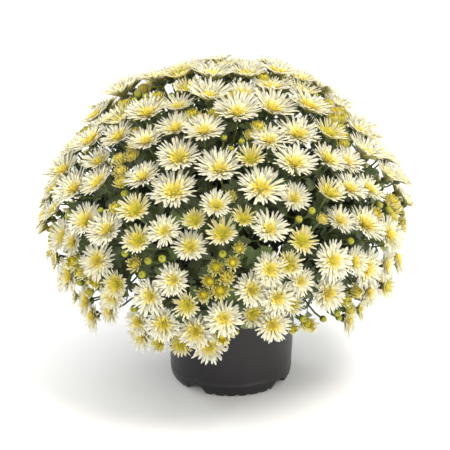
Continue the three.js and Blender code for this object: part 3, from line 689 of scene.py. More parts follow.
def add_cup(skin, flower, wide, low, high, bracts, draw):
    """The green cup under a flower: a turned body, and a row of small scales against it."""
    tall = high - low
    shares = ((0.62, 0.12), (0.93, 0.45), (0.88, 0.85))
    rings = [(wide * out, low + tall * up) for out, up in shares]
    section = [(0, low), (1.5, low), *rings, (0, high)]
    add_turned(skin, flower.centre, flower.axis, section, CUP_SIDES, 0, GREEN_SLOT)
    angle = TURN * np.arange(bracts) / bracts + draw.uniform(0, TURN)
    root = np.tile([0.6 * wide, low + 0.05 * tall], (bracts, 1))
    bend = np.tile([1.12 * wide, low + 0.3 * tall], (bracts, 1))
    tips = low + tall * (1.0 + 0.12 * draw.random(bracts))
    tip = np.stack([np.full(bracts, 1.08 * wide), tips], axis=1)
    t = np.array([[0.0], [0.3], [0.7], [1.0]])
    line, outward, across = fanned_lines(flower, angle, root, bend, tip, t)
    half = 3.3 / bracts * wide * np.array([[0], [0.9], [0.8], [0]])
    left, right = (line + half * across)[:, 1:-1], (line - half * across)[:, 1:-1]
    thick = outward * 0.35 * (half > 0)
    tint = draw.integers(9, 13, bracts)
    add_blades(skin, (line + thick, line - thick), left, right, t[:, 0], tint, LEAF_SLOT)


def add_half_open(skin, flower, florets, draw):
    """A half-open bloom: a goblet of florets, the outer ones turned out and the inner ones
    closed over a rounded heart."""
    size = flower.radius
    s = (np.arange(florets) + 0.5) / florets
    angle = np.arange(florets) * GOLDEN + draw.uniform(0, TURN)
    flare = draw.uniform(0.85, 1.2)
    root = np.stack([0.3 * (1 - s), -0.72 + 0.2 * s], axis=1)
    reach = (1.32 * flare - 1.25 * s**0.7) * (1 + draw.normal(0, 0.07, florets))
    lift = 0.16 + 0.5 * np.sin(0.72 * math.pi * s) + draw.normal(0, 0.04, florets)
    tip = np.stack([np.maximum(reach, 0.08), lift], axis=1)
    bend = np.stack([1.0 - 0.35 * s, -0.38 + 0.5 * s], axis=1)
    width = size * (0.135 - 0.03 * s)
    age = draw.uniform(0.16, 0.4) * (1 - 0.4 * s**2) + draw.normal(0, 0.03, florets)
    shape = (root, bend, tip)
    bands, curl = HALF_OPEN_BANDS, HALF_OPEN_CURL
    tint = add_florets(skin, flower, bands, s, angle, shape, width, age, curl, draw)
    section, sides = HALF_OPEN_HEART * size, HALF_OPEN_HEART_SIDES
    add_turned(skin, flower.centre, flower.axis, section, sides, tint, PETAL_SLOT)
    add_cup(skin, flower, 0.5 * size, -0.93 * size, -0.4 * size, 8, draw)


def add_bud(skin, flower, draw):
    """A closed bud: a ribbed ball of folded florets with a dimple, in a cup of green bracts."""
    size = flower.radius
    ball = [(math.sin(a), -math.cos(a)) for a in np.linspace(0, math.pi, 8)[1:6]]
    section = np.array([(0, -1), *ball, (0.34, 0.86), (0, 0.6)]) * size
    ribs = BUD_RIBS, BUD_RIB_DEPTH
    add_turned(skin, flower.centre, flower.axis, section, 2 * BUD_RIBS, 0, PETAL_SLOT, *ribs)
    add_cup(skin, flower, 0.95 * size, -1.32 * size, -0.1 * size, 8, draw)


# A lobed leaf's sections: how far along its midrib, how far along its edges, and half its width.
LEAF_OUTLINE = (
    ((0.08, 0.08, 0.011), (0.2, 0.2, 0.013), (0.27, 0.26, 0.03), (0.33, 0.33, 0.1))
    + ((0.38, 0.41, 0.185), (0.43, 0.49, 0.235), (0.49, 0.55, 0.195), (0.55, 0.55, 0.1))
    + ((0.61, 0.62, 0.17), (0.67, 0.71, 0.215), (0.73, 0.775, 0.165), (0.78, 0.775, 0.09))
    + ((0.85, 0.86, 0.115), (0.93, 0.94, 0.07))
)
LEAF_THICKNESS = 0.5
# How closely three corners and a tip have to match one of the model's leaves.
SHORTEST_LEAF, KEEL_MARGIN, TIP_MARGIN = 40, 0.1, 1.5


def add_leaves(skin, base, along, normal, length, column, draw):
    """Lobed leaves on short winged stalks, each folded a little along its midrib, with uneven
    edges and a drooping tip."""
    count = len(base)
    side = np.cross(normal, along)
    mid_share, edge_share, half = np.array(LEAF_OUTLINE).T
    length = length[:, None, None]
    droop = draw.uniform(0.5, 1.5, count)[:, None] * LEAF_TIP_DROP
    fold = draw.uniform(0.05, 0.4, count)[:, None]
    bend = draw.uniform(-0.12, 0.12, count)[:, None]
    broad = draw.uniform(0.9, 1.12, count)[:, None]

    def line(share, fall=0.0):
        drop = (-droop * share**2.6 + fall)[..., None] * normal[:, None]
        sway = (bend * share**2)[..., None] * side[:, None]
        return base[:, None] + length * (share[:, None] * along[:, None] + drop + sway)

    def edge(sign):
        uneven = 1 + draw.normal(0, 0.09, (count, len(half)))
        reach = (broad * half * uneven)[..., None] * length
        wave = draw.normal(0, 0.012, (count, len(half)))
        return line(edge_share, fold * half + wave) + sign * reach * side[:, None]

    left, right = edge(1), edge(-1)
    share = np.array([0, *mid_share, 1])
    upper = line(share)
    lower = upper.copy()
    lower[:, 1:-1] -= LEAF_THICKNESS * normal[:, None]
    add_blades(skin, (upper, lower), left, right, share, column, LEAF_SLOT)


def modelled_leaves(node):
    """Where the model's own leaves on a stem stand, from the three corners of their last
    section and their tips: lists of (base, along, normal, length)."""
    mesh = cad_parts[node].data
    raw = np.array([v.co for v in mesh.vertices]) / MM - POT_AXIS
    points, index = np.unique(np.round(raw, 3), axis=0, return_inverse=True)
    index = index.ravel()
    mesh.calc_loop_triangles()
    triangles = index[np.array([t.vertices[:] for t in mesh.loop_triangles])]
    around = [set() for _ in points]
    for triangle in triangles.tolist():
        for corner in triangle:
            around[corner] |= {*triangle} - {corner}
    share, half, lift = LAST_LEAF_SECTION
    found = []
    for tip, ring in enumerate(around):
        if len(ring) != 3:
            continue
        corners = points[sorted(ring)]
        for k in range(3):
            keel, left, right = corners[k], corners[k - 2], corners[k - 1]
            length = np.linalg.norm(left - right) / (2 * half)
            middle = (left + right) / 2
            normal = middle - keel
            depth = np.linalg.norm(normal)
            if length < SHORTEST_LEAF or abs(depth - LEAF_KEEL) > KEEL_MARGIN:
                continue
            normal = normal / depth
            step = points[tip] - middle + (LEAF_TIP_DROP + lift) * length * normal
            if abs(np.linalg.norm(step) - (1 - share) * length) > TIP_MARGIN:
                continue
            along = unit(step)
            base = middle - lift * length * normal - share * length * along
            found.append((base, along, normal, length))
    return found


# ---- Finishes -----------------------------------------------------------------------------------

BLENDED = {"data_type": "RGBA"}  # two colours by a share
MULTIPLIED = {"data_type": "RGBA", "blend_type": "MULTIPLY"}


def linear(hex_colour):
    """An sRGB hex colour as linear red, green and blue."""
    channels = [int(hex_colour[i : i + 2], 16) / 255 for i in (1, 3, 5)]
    return [c / 12.92 if c <= 0.04045 else ((c + 0.055) / 1.055) ** 2.4 for c in channels]


def rgba(colour):
    """A colour for a node, from its hex value or from a setting."""
    return (*(linear(colour) if isinstance(colour, str) else colour), 1.0)


def add_node(tree, kind, inputs=None, stops=(), **settings):
    """Adds a node with its settings, its colour stops, and what its inputs hold or link to. A
    node given as an input stands for its first output in use."""
    made = tree.nodes.new("ShaderNode" + kind)
    for name, value in settings.items():
        setattr(made, name, value)
    for i, (place, colour) in enumerate(stops):
        elements = made.color_ramp.elements
        stop = elements[i] if i < 2 else elements.new(place)
        stop.position, stop.color = place, rgba(colour)
    for key, value in (inputs or {}).items():
        if isinstance(value, bpy.types.Node):
            value = next(output for output in value.outputs if output.enabled)
        if isinstance(value, bpy.types.NodeSocket):
            tree.links.new(value, made.inputs[key])
        else:
            colour = isinstance(value, (str, Color))
            made.inputs[key].default_value = rgba(value) if colour else value
    return made


def finish_once(tissue, colours):
    """A finish that several pieces share, made the first time that it is asked for. It is named
    for the function that gives what its shader's inputs hold."""
    finish = bpy.data.materials.get(tissue.__name__)
    if finish is None:
        finish = bpy.data.materials.new(tissue.__name__)
        finish.use_nodes = True
        finish.node_tree.nodes.clear()
        add = partial(add_node, finish.node_tree)
        add("OutputMaterial", {"Surface": add("BsdfPrincipled", tissue(add, colours))})
    return finish


def blade_places(add):
    """A blade's tint, place across and distance from its midline, upper or lower face and place
    along, from its map."""
    split = add("SeparateXYZ", {0: add("UVMap", uv_map=BAKE_MAP)})
    wide = add("Math", {0: split.outputs[0], 1: COLUMNS}, operation="MULTIPLY")
    column = add("Math", {0: wide}, operation="FLOOR")
    tint = add("Math", {0: column, 1: TINT_STEPS}, operation="DIVIDE")
    across = add("Math", {0: wide}, operation="FRACT")
    off = add("Math", {0: across, 1: 0.5}, operation="SUBTRACT")
    off = add("Math", {0: off}, operation="ABSOLUTE")
    tall = add("Math", {0: split.outputs[1], 1: 2}, operation="MULTIPLY")
    under = add("Math", {0: tall}, operation="FLOOR")
    along = add("Math", {0: tall}, operation="FRACT")
    return tint, across, off, under, along


def ray_floret_tissue(add, colours):
    """Ray florets: thin living tissue with a faintly waxy, velvety face. It gives a soft matt
    white that yellows toward the heart, with painted shade: each floret's channel and its lower
    face are a little darker and warmer. The tint runs from a bud's green through a young floret's
    yellow to the ripe white."""
    tint, across, off, under, along = blade_places(add)
    bud = ((0, "#667030"), (1, "#4A5318"), (0.4, "#8F9334"), (0.78, colours.bud), (0.9, "#75782A"))
    young = ((0, "#8F932C"), (1, "#DBD04A"), (0.35, "#B8B234"), (0.72, colours.young_petal))
    yellow = ((0, "#CBB036"), (1, "#F1E498"), (0.4, colours.heart), (0.75, "#E8D45A"))
    ripe = ((0, "#DDC748"), (1, colours.petal_tip), (0.16, "#E9D972"), (0.36, "#F0E49E"))
    ripe = (*ripe, (0.62, "#F6F0C6"))
    face = add("ValToRGB", {0: along}, bud)
    for stops, low, high in ((young, 0.03, 0.06), (yellow, 0.16, 0.42), (ripe, 0.46, 0.8)):
        riper = add("ValToRGB", {0: along}, stops)
        share = add("MapRange", {0: tint, 1: low, 2: high})
        face = add("Mix", {0: share, 6: face, 7: riper}, **BLENDED)
    # Painted shade in the channel: a darker, warmer colour over the middle half of each floret.
    channel_shade_share = add("MapRange", {0: off, 1: 0, 2: 0.3, 3: 0.26, 4: 0})
    channel_painted_shade = add("Mix", {0: channel_shade_share, 6: face, 7: "#EBDC94"}, **MULTIPLIED)
    # Painted shade on the lower face: darker and warmer than the upper face.
    turned = add("Math", {0: under, 1: 0.75}, operation="MULTIPLY")
    both = add("Mix", {0: turned, 6: channel_painted_shade, 7: "#EAE6B8"}, **MULTIPLIED)
    # Five fine veins along each floret, under 1 mm apart.
    ribs = add("Math", {0: across, 1: 5 * TURN}, operation="MULTIPLY")
    ribs = add("Math", {0: ribs}, operation="SINE")
    bump = add("Bump", {"Strength": 0.2, "Distance": 0.1 * MM, "Height": ribs})
    return {
        "Base Color": both,
        "Roughness": 0.62,
        "IOR": 1.4,
        "Specular IOR Level": 0.35,
        "Subsurface Weight": 0.85,
        "Subsurface Radius": (1.0, 0.93, 0.72),
        "Subsurface Scale": 3.0 * MM,
        "Normal": bump,
    }


def downy_leaf_tissue(add, colours):
    """Chrysanthemum leaf: thick, finely downy tissue. It gives a matt dark grey-green with
    paler veins that run into the lobes, and a paler lower face."""
    tint, _, off, under, along = blade_places(add)
    # The tint's dark end is painted shade for the leaves deep inside the dome: leaf_shade is that
    # shade, and leaf the colour in the light.
    stops = ((0, "#2A2D1E"), (1, "#7E8B4C"), (0.3, colours.leaf_shade), (0.62, colours.leaf))
    blade = add("ValToRGB", {0: tint}, (*stops, (0.8, "#5F7144")))
    # Side veins leave the midrib every tenth of the leaf, about 6 mm, and slant to the tip.
    slant = add("Math", {0: off, 1: -0.42}, operation="MULTIPLY")
    place = add("Math", {0: along, 1: slant}, operation="ADD")
    beat = add("Math", {0: place, 1: 10}, operation="MULTIPLY")
    beat = add("Math", {0: beat, 1: 0.5}, operation="PINGPONG")
    side_vein = add("MapRange", {0: beat, 1: 0, 2: 0.09, 3: 0.45, 4: 0})
    midrib = add("MapRange", {0: off, 1: 0.012, 2: 0.05, 3: 0.9, 4: 0})
    vein = add("Math", {0: side_vein, 1: midrib}, operation="MAXIMUM")
    # Mottling in patches of about 4 mm.
    layer = add("UVMap", uv_map=BAKE_MAP)
    stretched = add("Mapping", {"Vector": layer, "Scale": (COLUMNS * 6, 18, 1)})
    mottle = add("TexNoise", {"Vector": stretched, "Scale": 1, "Detail": 3})
    patch = add("MapRange", {0: mottle, 1: 0.3, 2: 0.7, 3: 0, 4: 0.5})
    mottled = add("Mix", {0: patch, 6: blade, 7: "#A9B890"}, **MULTIPLIED)
    veined = add("Mix", {0: vein, 6: mottled, 7: "#66754C"}, **BLENDED)
    turned = add("Math", {0: under, 1: 0.4}, operation="MULTIPLY")
    both = add("Mix", {0: turned, 6: veined, 7: "#7C8A68"}, **BLENDED)
    relief = add("Math", {0: mottle, 1: vein}, operation="SUBTRACT")
    bump = add("Bump", {"Strength": 0.5, "Distance": 0.5 * MM, "Height": relief})
    return {
        "Base Color": both,
        "Roughness": 0.58,
        "IOR": 1.42,
        "Specular IOR Level": 0.4,
        "Sheen Weight": 0.06,
        "Sheen Roughness": 0.5,
        "Normal": bump,
    }


def ridged_stem_skin(add, colours):
    """Chrysanthemum stem: ridged, slightly downy skin, corky and brown where it leaves the
    mix. It gives a satin olive that freshens toward the flowers."""
    split = add("SeparateXYZ", {0: add("UVMap", uv_map=BAKE_MAP)})
    stops = ((0, "#5A4A33"), (1, colours.stem), (0.25, "#54532F"), (0.5, "#4E5C32"))
    skin = add("ValToRGB", {0: split.outputs[1]}, stops)
    # Ridges lengthwise, eight round a stem, 1 to 2 mm apart, with painted shade darkening the
    # furrows between them.
    ridge = add("Math", {0: split.outputs[0], 1: 8 * TURN}, operation="MULTIPLY")
    ridge = add("Math", {0: ridge}, operation="SINE")
    furrow_painted_shade = add("MapRange", {0: ridge, 1: -1, 2: 0.4, 3: 0.35, 4: 0})
    ridged = add("Mix", {0: furrow_painted_shade, 6: skin, 7: "#6E7350"}, **MULTIPLIED)
    bump = add("Bump", {"Strength": 0.4, "Distance": 0.3 * MM, "Height": ridge})
    return {"Base Color": ridged, "Roughness": 0.55, "IOR": 1.42, "Normal": bump}


def moulded_polypropylene(add, colours):
    """Injection-moulded recycled polypropylene: satin, with a fine eggshell grain and faint
    flow marks. It gives a charcoal with a broad soft highlight."""
    place = add("TexCoord").outputs["Object"]
    # Flow marks: soft bands 20 to 40 mm broad, drawn out down the wall.
    drawn = add("Mapping", {"Vector": place, "Scale": (30, 30, 7)})
    flow = add("TexNoise", {"Vector": drawn, "Scale": 1, "Detail": 2})
    colour = add("Mix", {0: flow, 6: colours.pot, 7: "#252325"}, **BLENDED)
    # The mould's grain, 0.8 mm across.
    grain = add("TexNoise", {"Vector": place, "Scale": 1 / (0.8 * MM), "Detail": 1})
    return {
        "Base Color": colour,
        "Roughness": add("MapRange", {0: flow, 1: 0.3, 2: 0.7, 3: 0.34, 4: 0.44}),
        "IOR": 1.49,
        "Specular IOR Level": 0.36,
        "Normal": add("Bump", {"Strength": 0.12, "Distance": 0.08 * MM, "Height": grain}),
    }


def peat_and_bark_mix(add, colours):
    """Peat and composted bark: damp crumbs of 1 to 6 mm. It gives a dull dark brown, broken
    into lighter fibres, with near-black painted shade in the hollows between the crumbs."""
    place = add("TexCoord").outputs["Object"]
    crumbs = add("TexVoronoi", {"Vector": place, "Scale": 1 / (4 * MM)})
    dust = add("TexNoise", {"Vector": place, "Scale": 1 / (1.5 * MM), "Detail": 3})
    blend = add("Math", {0: crumbs, 1: dust}, operation="MULTIPLY")
    # The near-black stop is painted shade in the hollows between the crumbs.
    stops = ((0.05, "#5A4433"), (0.6, "#120C08"), (0.25, colours.potting_mix))
    return {
        "Base Color": add("ValToRGB", {0: blend}, stops),
        "Roughness": 0.95,
        "Specular IOR Level": 0.25,
        "Normal": add("Bump", {"Strength": 0.9, "Distance": 1.2 * MM, "Height": blend}),
    }


def white_studio_card(add, colours):
    """Matt white card, as laid under an object to be lit softly. It gives no gloss at all."""
    return {"Base Color": colours.floor, "Roughness": 1, "Specular IOR Level": 0}


# ---- What a user may change ---------------------------------------------------------------------


def length_prop(name, description, metres):
    return bpy.props.FloatProperty(
        name=name, description=description, default=metres, min=0.0, unit="LENGTH", precision=4
    )


def colour_prop(name, description, hex_colour):
    shown = {"name": name, "description": description, "subtype": "COLOR"}
    default = linear(hex_colour)
    return bpy.props.FloatVectorProperty(default=default, size=3, min=0.0, max=1.0, **shown)


def count_prop(name, description, count, least=0):
    return bpy.props.IntProperty(name=name, description=description, default=count, min=least)


class FlowerSettings(bpy.types.PropertyGroup):
    florets: count_prop("Florets", "Ray florets on a full bloom", 160, 20)
    half_open_florets: count_prop("Half-open florets", "Ray florets on a half-open bloom", 52, 12)
    more_young: count_prop("More young", "Half-open blooms and buds besides the model's own", 110)
    floret_width: length_prop("Floret width", "Width of a full bloom's outer florets", 2.4 * MM)
    petal_tip: colour_prop("Petal tip", "Colour of a ripe floret's tip", "#F8F3DA")
    heart: colour_prop("Heart", "Colour of an open bloom's heart", "#DCC440")
    young_petal: colour_prop("Young petal", "Colour of a half-open bloom's florets", "#D0C43A")
    bud: colour_prop("Bud", "Colour of a closed bud", "#9E9E38")


class FoliageSettings(bpy.types.PropertyGroup):
    leaf_length: length_prop("Leaf length", "Length of a full leaf with its stalk", 64 * MM)
    leaves_on_stem: count_prop("Leaves on a stem", "Leaves besides those on its stalks", 12)
    leaf: colour_prop("Leaf", "Colour of leaves in the light", "#535A3C")
    # leaf_shade is painted shade, the colour given to the leaves deep inside the dome.
    leaf_shade: colour_prop("Shaded leaf", "Colour of the older leaves inside", "#3F432D")
    stem: colour_prop("Stem", "Colour of young stems and stalks", "#687A42")


class PotSettings(bpy.types.PropertyGroup):
    feet: count_prop("Feet", "Low feet round the pot's bottom edge", 32, 4)
    pot: colour_prop("Pot", "Colour of the moulded plastic", "#1A181A")
    potting_mix: colour_prop("Potting mix", "Colour of the damp mix", "#33241A")


class StudioSettings(bpy.types.PropertyGroup):
    floor: colour_prop("Floor", "Colour of the card under the pot", "#F7F7F7")
    sky: bpy.props.FloatProperty(
        name="Ambient light", description="Strength of the even light", default=1.16, min=0.0
    )


# ---- Operators ----------------------------------------------------------------------------------

POT_SIDES_PER_FOOT = 8
FOOT_GAP = 0.24  # half of a gap between feet, as a share of their spacing
MERGING_DISTANCE = 0.001 * MM
SHARP_ANGLE = math.radians(50)
MIX_SEED = 5
MIX_SIDES, MIX_RINGS = 110, 32
MIX_CLEARANCE = 0.3  # over the pot's floor
MIX_EDGE_DROP = 2.5
CRUMB_HEIGHT, CRUMB_SHIFT = 0.9, 0.5
BLOOM_SEED, STEM_SEED = 100, 500
STEM_SIDES, STEM_STOPS = 10, 18
STALK_SIDES = 6
LEAFLESS_SHARE = 0.45  # of a stem, up from the mix
STALK_LEAVES = ((2, 0.95), (5, 0.65))  # each one's place along a stalk, and its size
LEAF_DEPTH = 0.955  # the outermost place of a leaf's tip, where the flowers are at 1
POT_SIDE_GAP, POT_TOP_GAP = 6, 8  # between the leaves and the pot


def finished(piece, slot, *nodes):
    """Sets a piece in the frame: it rides on the plant and stands for these solids."""
    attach(piece, "root")
    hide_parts(*nodes)


def plant_finishes(scene):
    """The finishes of the petals, the stems and the leaves, in their slots' order."""
    petals = finish_once(ray_floret_tissue, scene.mum_flowers)
    stems = finish_once(ridged_stem_skin, scene.mum_foliage)
    return petals, stems, finish_once(downy_leaf_tissue, scene.mum_foliage)


def wall_at(z):
    return POT_BASE_RADIUS + (POT_TOP_RADIUS - POT_BASE_RADIUS) * z / POT_HEIGHT


class MUM_OT_pot(bpy.types.Operator):
    """Moulds the nursery pot, with its lip, its feet and its drain notches"""

    bl_idname = "mum.pot"
    bl_label = "Nursery Pot"

    def execute(self, context):
        settings = context.scene.mum_pot
        sides = POT_SIDES_PER_FOOT * settings.feet
        angle = TURN * np.arange(sides) / sides
        gap, notch = self.edge_lift(angle, settings.feet)
        section = np.array(self.section())
        radius, height, near_edge, over_notch = section.T[..., None]
        points = at_azimuth(angle, radius, height + gap * near_edge + notch * over_notch)
        run = np.cumsum([0, *np.hypot(*np.diff(section[:, :2], axis=0).T)])
        quads, turned, on = grid_faces(len(section), sides)
        skin = Skin()
        skin.add(points, 0, (quads, np.stack([turned / sides, run[on] / run[-1]], axis=-1)))
        piece = skin.make("nursery_pot", [finish_once(moulded_polypropylene, settings)])
        self.close_middles(piece.data)
        finished(piece, "pot", "pot")
        return {"FINISHED"}

    def edge_lift(self, angle, feet):
        """How far the bottom edge is lifted: by the uneven gaps between its feet, and by four
        drain notches."""
        place = angle / TURN * feet
        gap = np.clip(1 - np.abs(place % 1 - 0.5) / FOOT_GAP, 0, 1) ** 0.6
        gap = gap * (FOOT_HEIGHT - FOOT_UNEVENNESS * (np.floor(place) % 3))
        turned = (np.degrees(angle) - NOTCH_TURN + 45) % 90 - 45
        notch = NOTCH_HEIGHT * np.clip((NOTCH_HALF_ANGLE - np.abs(turned)) / NOTCH_SHOULDER, 0, 1)
        return np.where(notch > 0, 0, gap), notch

    def section(self):
        """From the underside's middle round to the floor's middle: the radius and height, and
        how far the gaps between the feet and the drain notches lift each place."""
        notch_end, edge = NOTCH_DEPTH_RADIUS - NOTCH_FADE, POT_BASE_RADIUS - CORNER_INSET
        lip = POT_HEIGHT - LIP_HEIGHT
        at_lip, top = wall_at(lip), wall_at(POT_HEIGHT)
        under = [(0, 0, 0, 0), (notch_end, 0, 0, 0), (NOTCH_DEPTH_RADIUS, 0, 0, 1)]
        under += [(UNDERSIDE_RADIUS - 0.4, 0, 0, 1), (UNDERSIDE_RADIUS + 0.2, 0.05, 0, 1)]
        under += [(edge - 3.4, 0, 0.9, 1)]
        wall = [(edge - 1.0, 0.02), (edge, 0.3), (edge + 0.9, 1.4), (edge + 2.2, 3.6)]
        wall += [(edge + 3.2, 6.2)]
        # Heights up the wall and how far it stands out there, with a faint ring near the bottom.
        outside = [(9, -0.1), (11.5, 0), (15, 0.05), (16, 0.5), (18.2, 0.5), (19.2, 0.05)]
        outside += [(z, 0) for z in np.linspace(24, lip - 3, 9)]
        wall += [(wall_at(z) + out, z) for z, out in outside]
        under_lip = ((0.1, -0.9), (0.5, 0), (LIP_STEP - 0.5, 0.1), (LIP_STEP, 0.7))
        wall += [(at_lip + out, lip + up) for out, up in under_lip]
        rim = ((LIP_STEP - 0.1, -4), (LIP_STEP, -1.2), (LIP_STEP - 0.5, -0.25))
        rim = (*rim, (1.3, 0), (1.0 - POT_WALL, 0), (-POT_WALL, -1.0))
        wall += [(top + out, POT_HEIGHT + up) for out, up in rim]
        wall += [(at_lip - POT_WALL, lip), (wall_at(60) - POT_WALL, 60)]
        wall = [(r, z, max(0, 1 - z / FOOT_REACH), max(0, 1 - z / NOTCH_REACH)) for r, z in wall]
        floor = [(wall_at(FLOOR_BEND_HEIGHT) - POT_WALL, FLOOR_BEND_HEIGHT, 0, 0.2)]
        places = ((FLOOR_RADIUS, 1), (NOTCH_DEPTH_RADIUS, 1), (notch_end, 0), (0, 0))
        floor += [(r, FLOOR_THICKNESS, 0, over_notch) for r, over_notch in places]
        return under + wall + floor

    def close_middles(self, mesh):
        """Merges the points that meet on the axis, and keeps the moulded edges crisp."""
        shell = bmesh.new()
        shell.from_mesh(mesh)
        bmesh.ops.remove_doubles(shell, verts=shell.verts, dist=MERGING_DISTANCE)
        shell.to_mesh(mesh)
        shell.free()
        mesh.set_sharp_from_angle(angle=SHARP_ANGLE)


class MUM_OT_potting_mix(bpy.types.Operator):
    """Fills the pot with its crumbly mix, heaped a little in the middle"""

    bl_idname = "mum.potting_mix"
    bl_label = "Potting Mix"

    def execute(self, context):
        settings = context.scene.mum_pot
        draw = np.random.default_rng(MIX_SEED)
        low = FLOOR_THICKNESS + MIX_CLEARANCE
        wall = wall_at(SOIL_TOP) - POT_WALL - SOIL_SHRINKAGE
        base_wall = wall_at(FLOOR_BEND_HEIGHT) - POT_WALL - SOIL_SHRINKAGE
        radii = wall * np.linspace(1, 0, MIX_RINGS)[:-1] ** 0.9
        heights = SOIL_TOP + SOIL_CROWN * (1 - (radii / wall) ** 2)
        heights[0] -= MIX_EDGE_DROP
        under = [(FLOOR_RADIUS - SOIL_SHRINKAGE, low), (base_wall, FLOOR_BEND_HEIGHT + 1.0)]
        section = [(0, low), *under, *zip(radii, heights), (0, heights[-1])]
        skin = Skin()
        points = add_turned(skin, np.zeros(3), UP, section, MIX_SIDES, 0, 0)
        top = (points[:, 2] > SOIL_TOP - 1) & (np.hypot(*points[:, :2].T) < wall - 1)
        points[top, 2] += np.clip(draw.normal(0, CRUMB_HEIGHT, top.sum()), -2.2, 1.6) - 0.4
        points[top, :2] += draw.normal(0, CRUMB_SHIFT, (top.sum(), 2))
        piece = skin.make("potting_mix_filling", [finish_once(peat_and_bark_mix, settings)])
        finished(piece, "potting_mix", "potting_mix")
        return {"FINISHED"}


class MUM_OT_open_blooms(bpy.types.Operator):
    """Opens the double blooms, one piece for each spray"""

    bl_idname = "mum.open_blooms"
    bl_label = "Open Blooms"

    def execute(self, context):
        settings = context.scene.mum_flowers
        flowers = lay_out_flowers(settings.more_young)
        for spray in range(SPRAYS):
            draw = np.random.default_rng(BLOOM_SEED + spray)
            number = f"{spray + 1:02d}"
            skin = Skin()
            for bloom in flowers:
                if bloom.spray == spray and bloom.kind == "open":
                    add_bloom(skin, bloom, settings.florets, settings.floret_width / MM, draw)
            piece = skin.make(f"double_blooms_{number}", plant_finishes(context.scene))
            finished(piece, "bloom", f"spray_blooms_{number}")
        return {"FINISHED"}


class MUM_OT_leafy_stems(bpy.types.Operator):
    """Grows the stems with their stalks, leaves, half-open blooms and buds"""

    bl_idname = "mum.leafy_stems"
    bl_label = "Leafy Stems"

    def execute(self, context):
        settings = context.scene.mum_flowers
        flowers = lay_out_flowers(settings.more_young)
        shares = np.linspace(0, 1, STEM_STOPS)
        thick = STEM_BASE_RADIUS + (STEM_TOP_RADIUS - STEM_BASE_RADIUS) * shares
        along = np.linspace(0, 1, STALK_POINTS)
        thin = STALK_RADIUS * (1.15 - 0.9 * along + 0.8 * along**2)
        for spray in range(SPRAYS):
            draw = np.random.default_rng(STEM_SEED + spray)
            number = f"{spray + 1:02d}"
            stem = stem_curve(spray)
            stalks = stalks_of(spray, flowers, stem)
            lines = np.array([line for _, line in stalks])
            skin = Skin()
            add_tubes(skin, stem(shares)[None], 0.95 * thick, STEM_SIDES, 0.5 * shares, GREEN_SLOT)
            add_tubes(skin, lines, thin, STALK_SIDES, 0.5 + 0.5 * along, GREEN_SLOT)
            own = modelled_leaves(f"leafy_stem_{number}")
            tint = draw.integers(7, 12, len(own))
            if own:
                add_leaves(skin, *(np.array(values) for values in zip(*own)), tint, draw)
            self.sprouted(skin, stem, lines, context.scene.mum_foliage, draw)
            for flower, _ in stalks:
                if flower.kind == "half_open":
                    add_half_open(skin, flower, settings.half_open_florets, draw)
                elif flower.kind == "bud":
                    add_bud(skin, flower, draw)
            piece = skin.make(f"leafy_spray_{number}", plant_finishes(context.scene))
            finished(piece, "leafy_stem", f"leafy_stem_{number}")
        return {"FINISHED"}

    def is_clear(self, base, way, face, length):
        """Which leaves stay under the flowers and out of the pot."""
        clear = np.ones(len(base), bool)
        for share in (0.6, 1.0):
            points = base + (share * length)[:, None] * (way - LEAF_TIP_DROP * share * face)
            depth = np.hypot(*surface_place(points - [PLANT_LEAN, 0, 0]))
            near_pot = np.hypot(*points[:, :2].T) < POT_TOP_RADIUS + POT_SIDE_GAP
            near_pot &= points[:, 2] < POT_HEIGHT + POT_TOP_GAP
            clear &= (depth < LEAF_DEPTH) & ~near_pot
        return clear

    def sprouted(self, skin, stem, lines, foliage, draw):
        """The leaves along the upper stem and up the flowers' stalks."""
        steps = (np.arange(foliage.leaves_on_stem) + 0.5) / max(foliage.leaves_on_stem, 1)
        shares = LEAFLESS_SHARE + (1 - LEAFLESS_SHARE) * steps
        places, sizes = zip(*STALK_LEAVES)
        starts = np.concatenate([stem(shares), lines[:, places].reshape(-1, 3)])
        sizes = np.concatenate([1.05 - 0.25 * shares, np.tile(sizes, len(lines))])
        sizes = foliage.leaf_length / MM * sizes * draw.uniform(0.8, 1.15, len(starts))
        outward = surface_normal(*angles_of(starts - [PLANT_LEAN, 0, 0]))
        turn = GOLDEN * np.arange(len(starts)) + draw.uniform(0, TURN)
        lean = draw.uniform(0.1, 0.75, len(starts))[:, None]
        way = unit(ways_around(outward, turn) + lean * outward)
        face = outward + 0.35 * UP + draw.normal(0, 0.18, outward.shape)
        face = unit(face - (face * way).sum(1, keepdims=True) * way)
        clear = self.is_clear(starts, way, face, sizes)
        starts, way, face, sizes = starts[clear], way[clear], face[clear], sizes[clear]
        depth = np.hypot(*surface_place(starts + sizes[:, None] * way - [PLANT_LEAN, 0, 0]))
        # Leaves deeper inside the dome take darker tints: painted shade, spread a little at random.
        tint = 2 + 9 * (depth - 0.45) / 0.5 + draw.normal(0, 1.1, len(depth))
        add_leaves(skin, starts, way, face, sizes, np.clip(np.round(tint), 0, 13), draw)


FLOOR_HALF = 12.0  # metres
SKY_COLOUR = (1.0, 0.988, 0.945, 1)
LIGHT_TARGET = Vector((0, 0, 0.22))
# Each soft light's name, place, diameter in metres, watts and colour.
LIGHTS = (
    ("key_softbox", (0.9, -1.1, 2.5), 1.1, 46, "#FFFBF2"),
    ("fill_softbox", (-1.9, -1.3, 1.0), 1.5, 10, "#F4F7FF"),
    ("left_rim_strip", (-0.9, 0.9, 0.35), 0.5, 7, "#E6ECFF"),
    ("right_rim_strip", (1.1, 0.8, 0.35), 0.5, 5, "#E6ECFF"),
    ("low_front_strip", (0.95, -1.2, 0.1), 0.25, 4, "#FFFFFF"),
)
CAMERA_FROM_POT = Vector((-0.0092, -1.6292, 0.795))
CAMERA_DROP = math.radians(18.8)
CAMERA_LENS = 91.68
SENSOR_WIDTH = 36.0


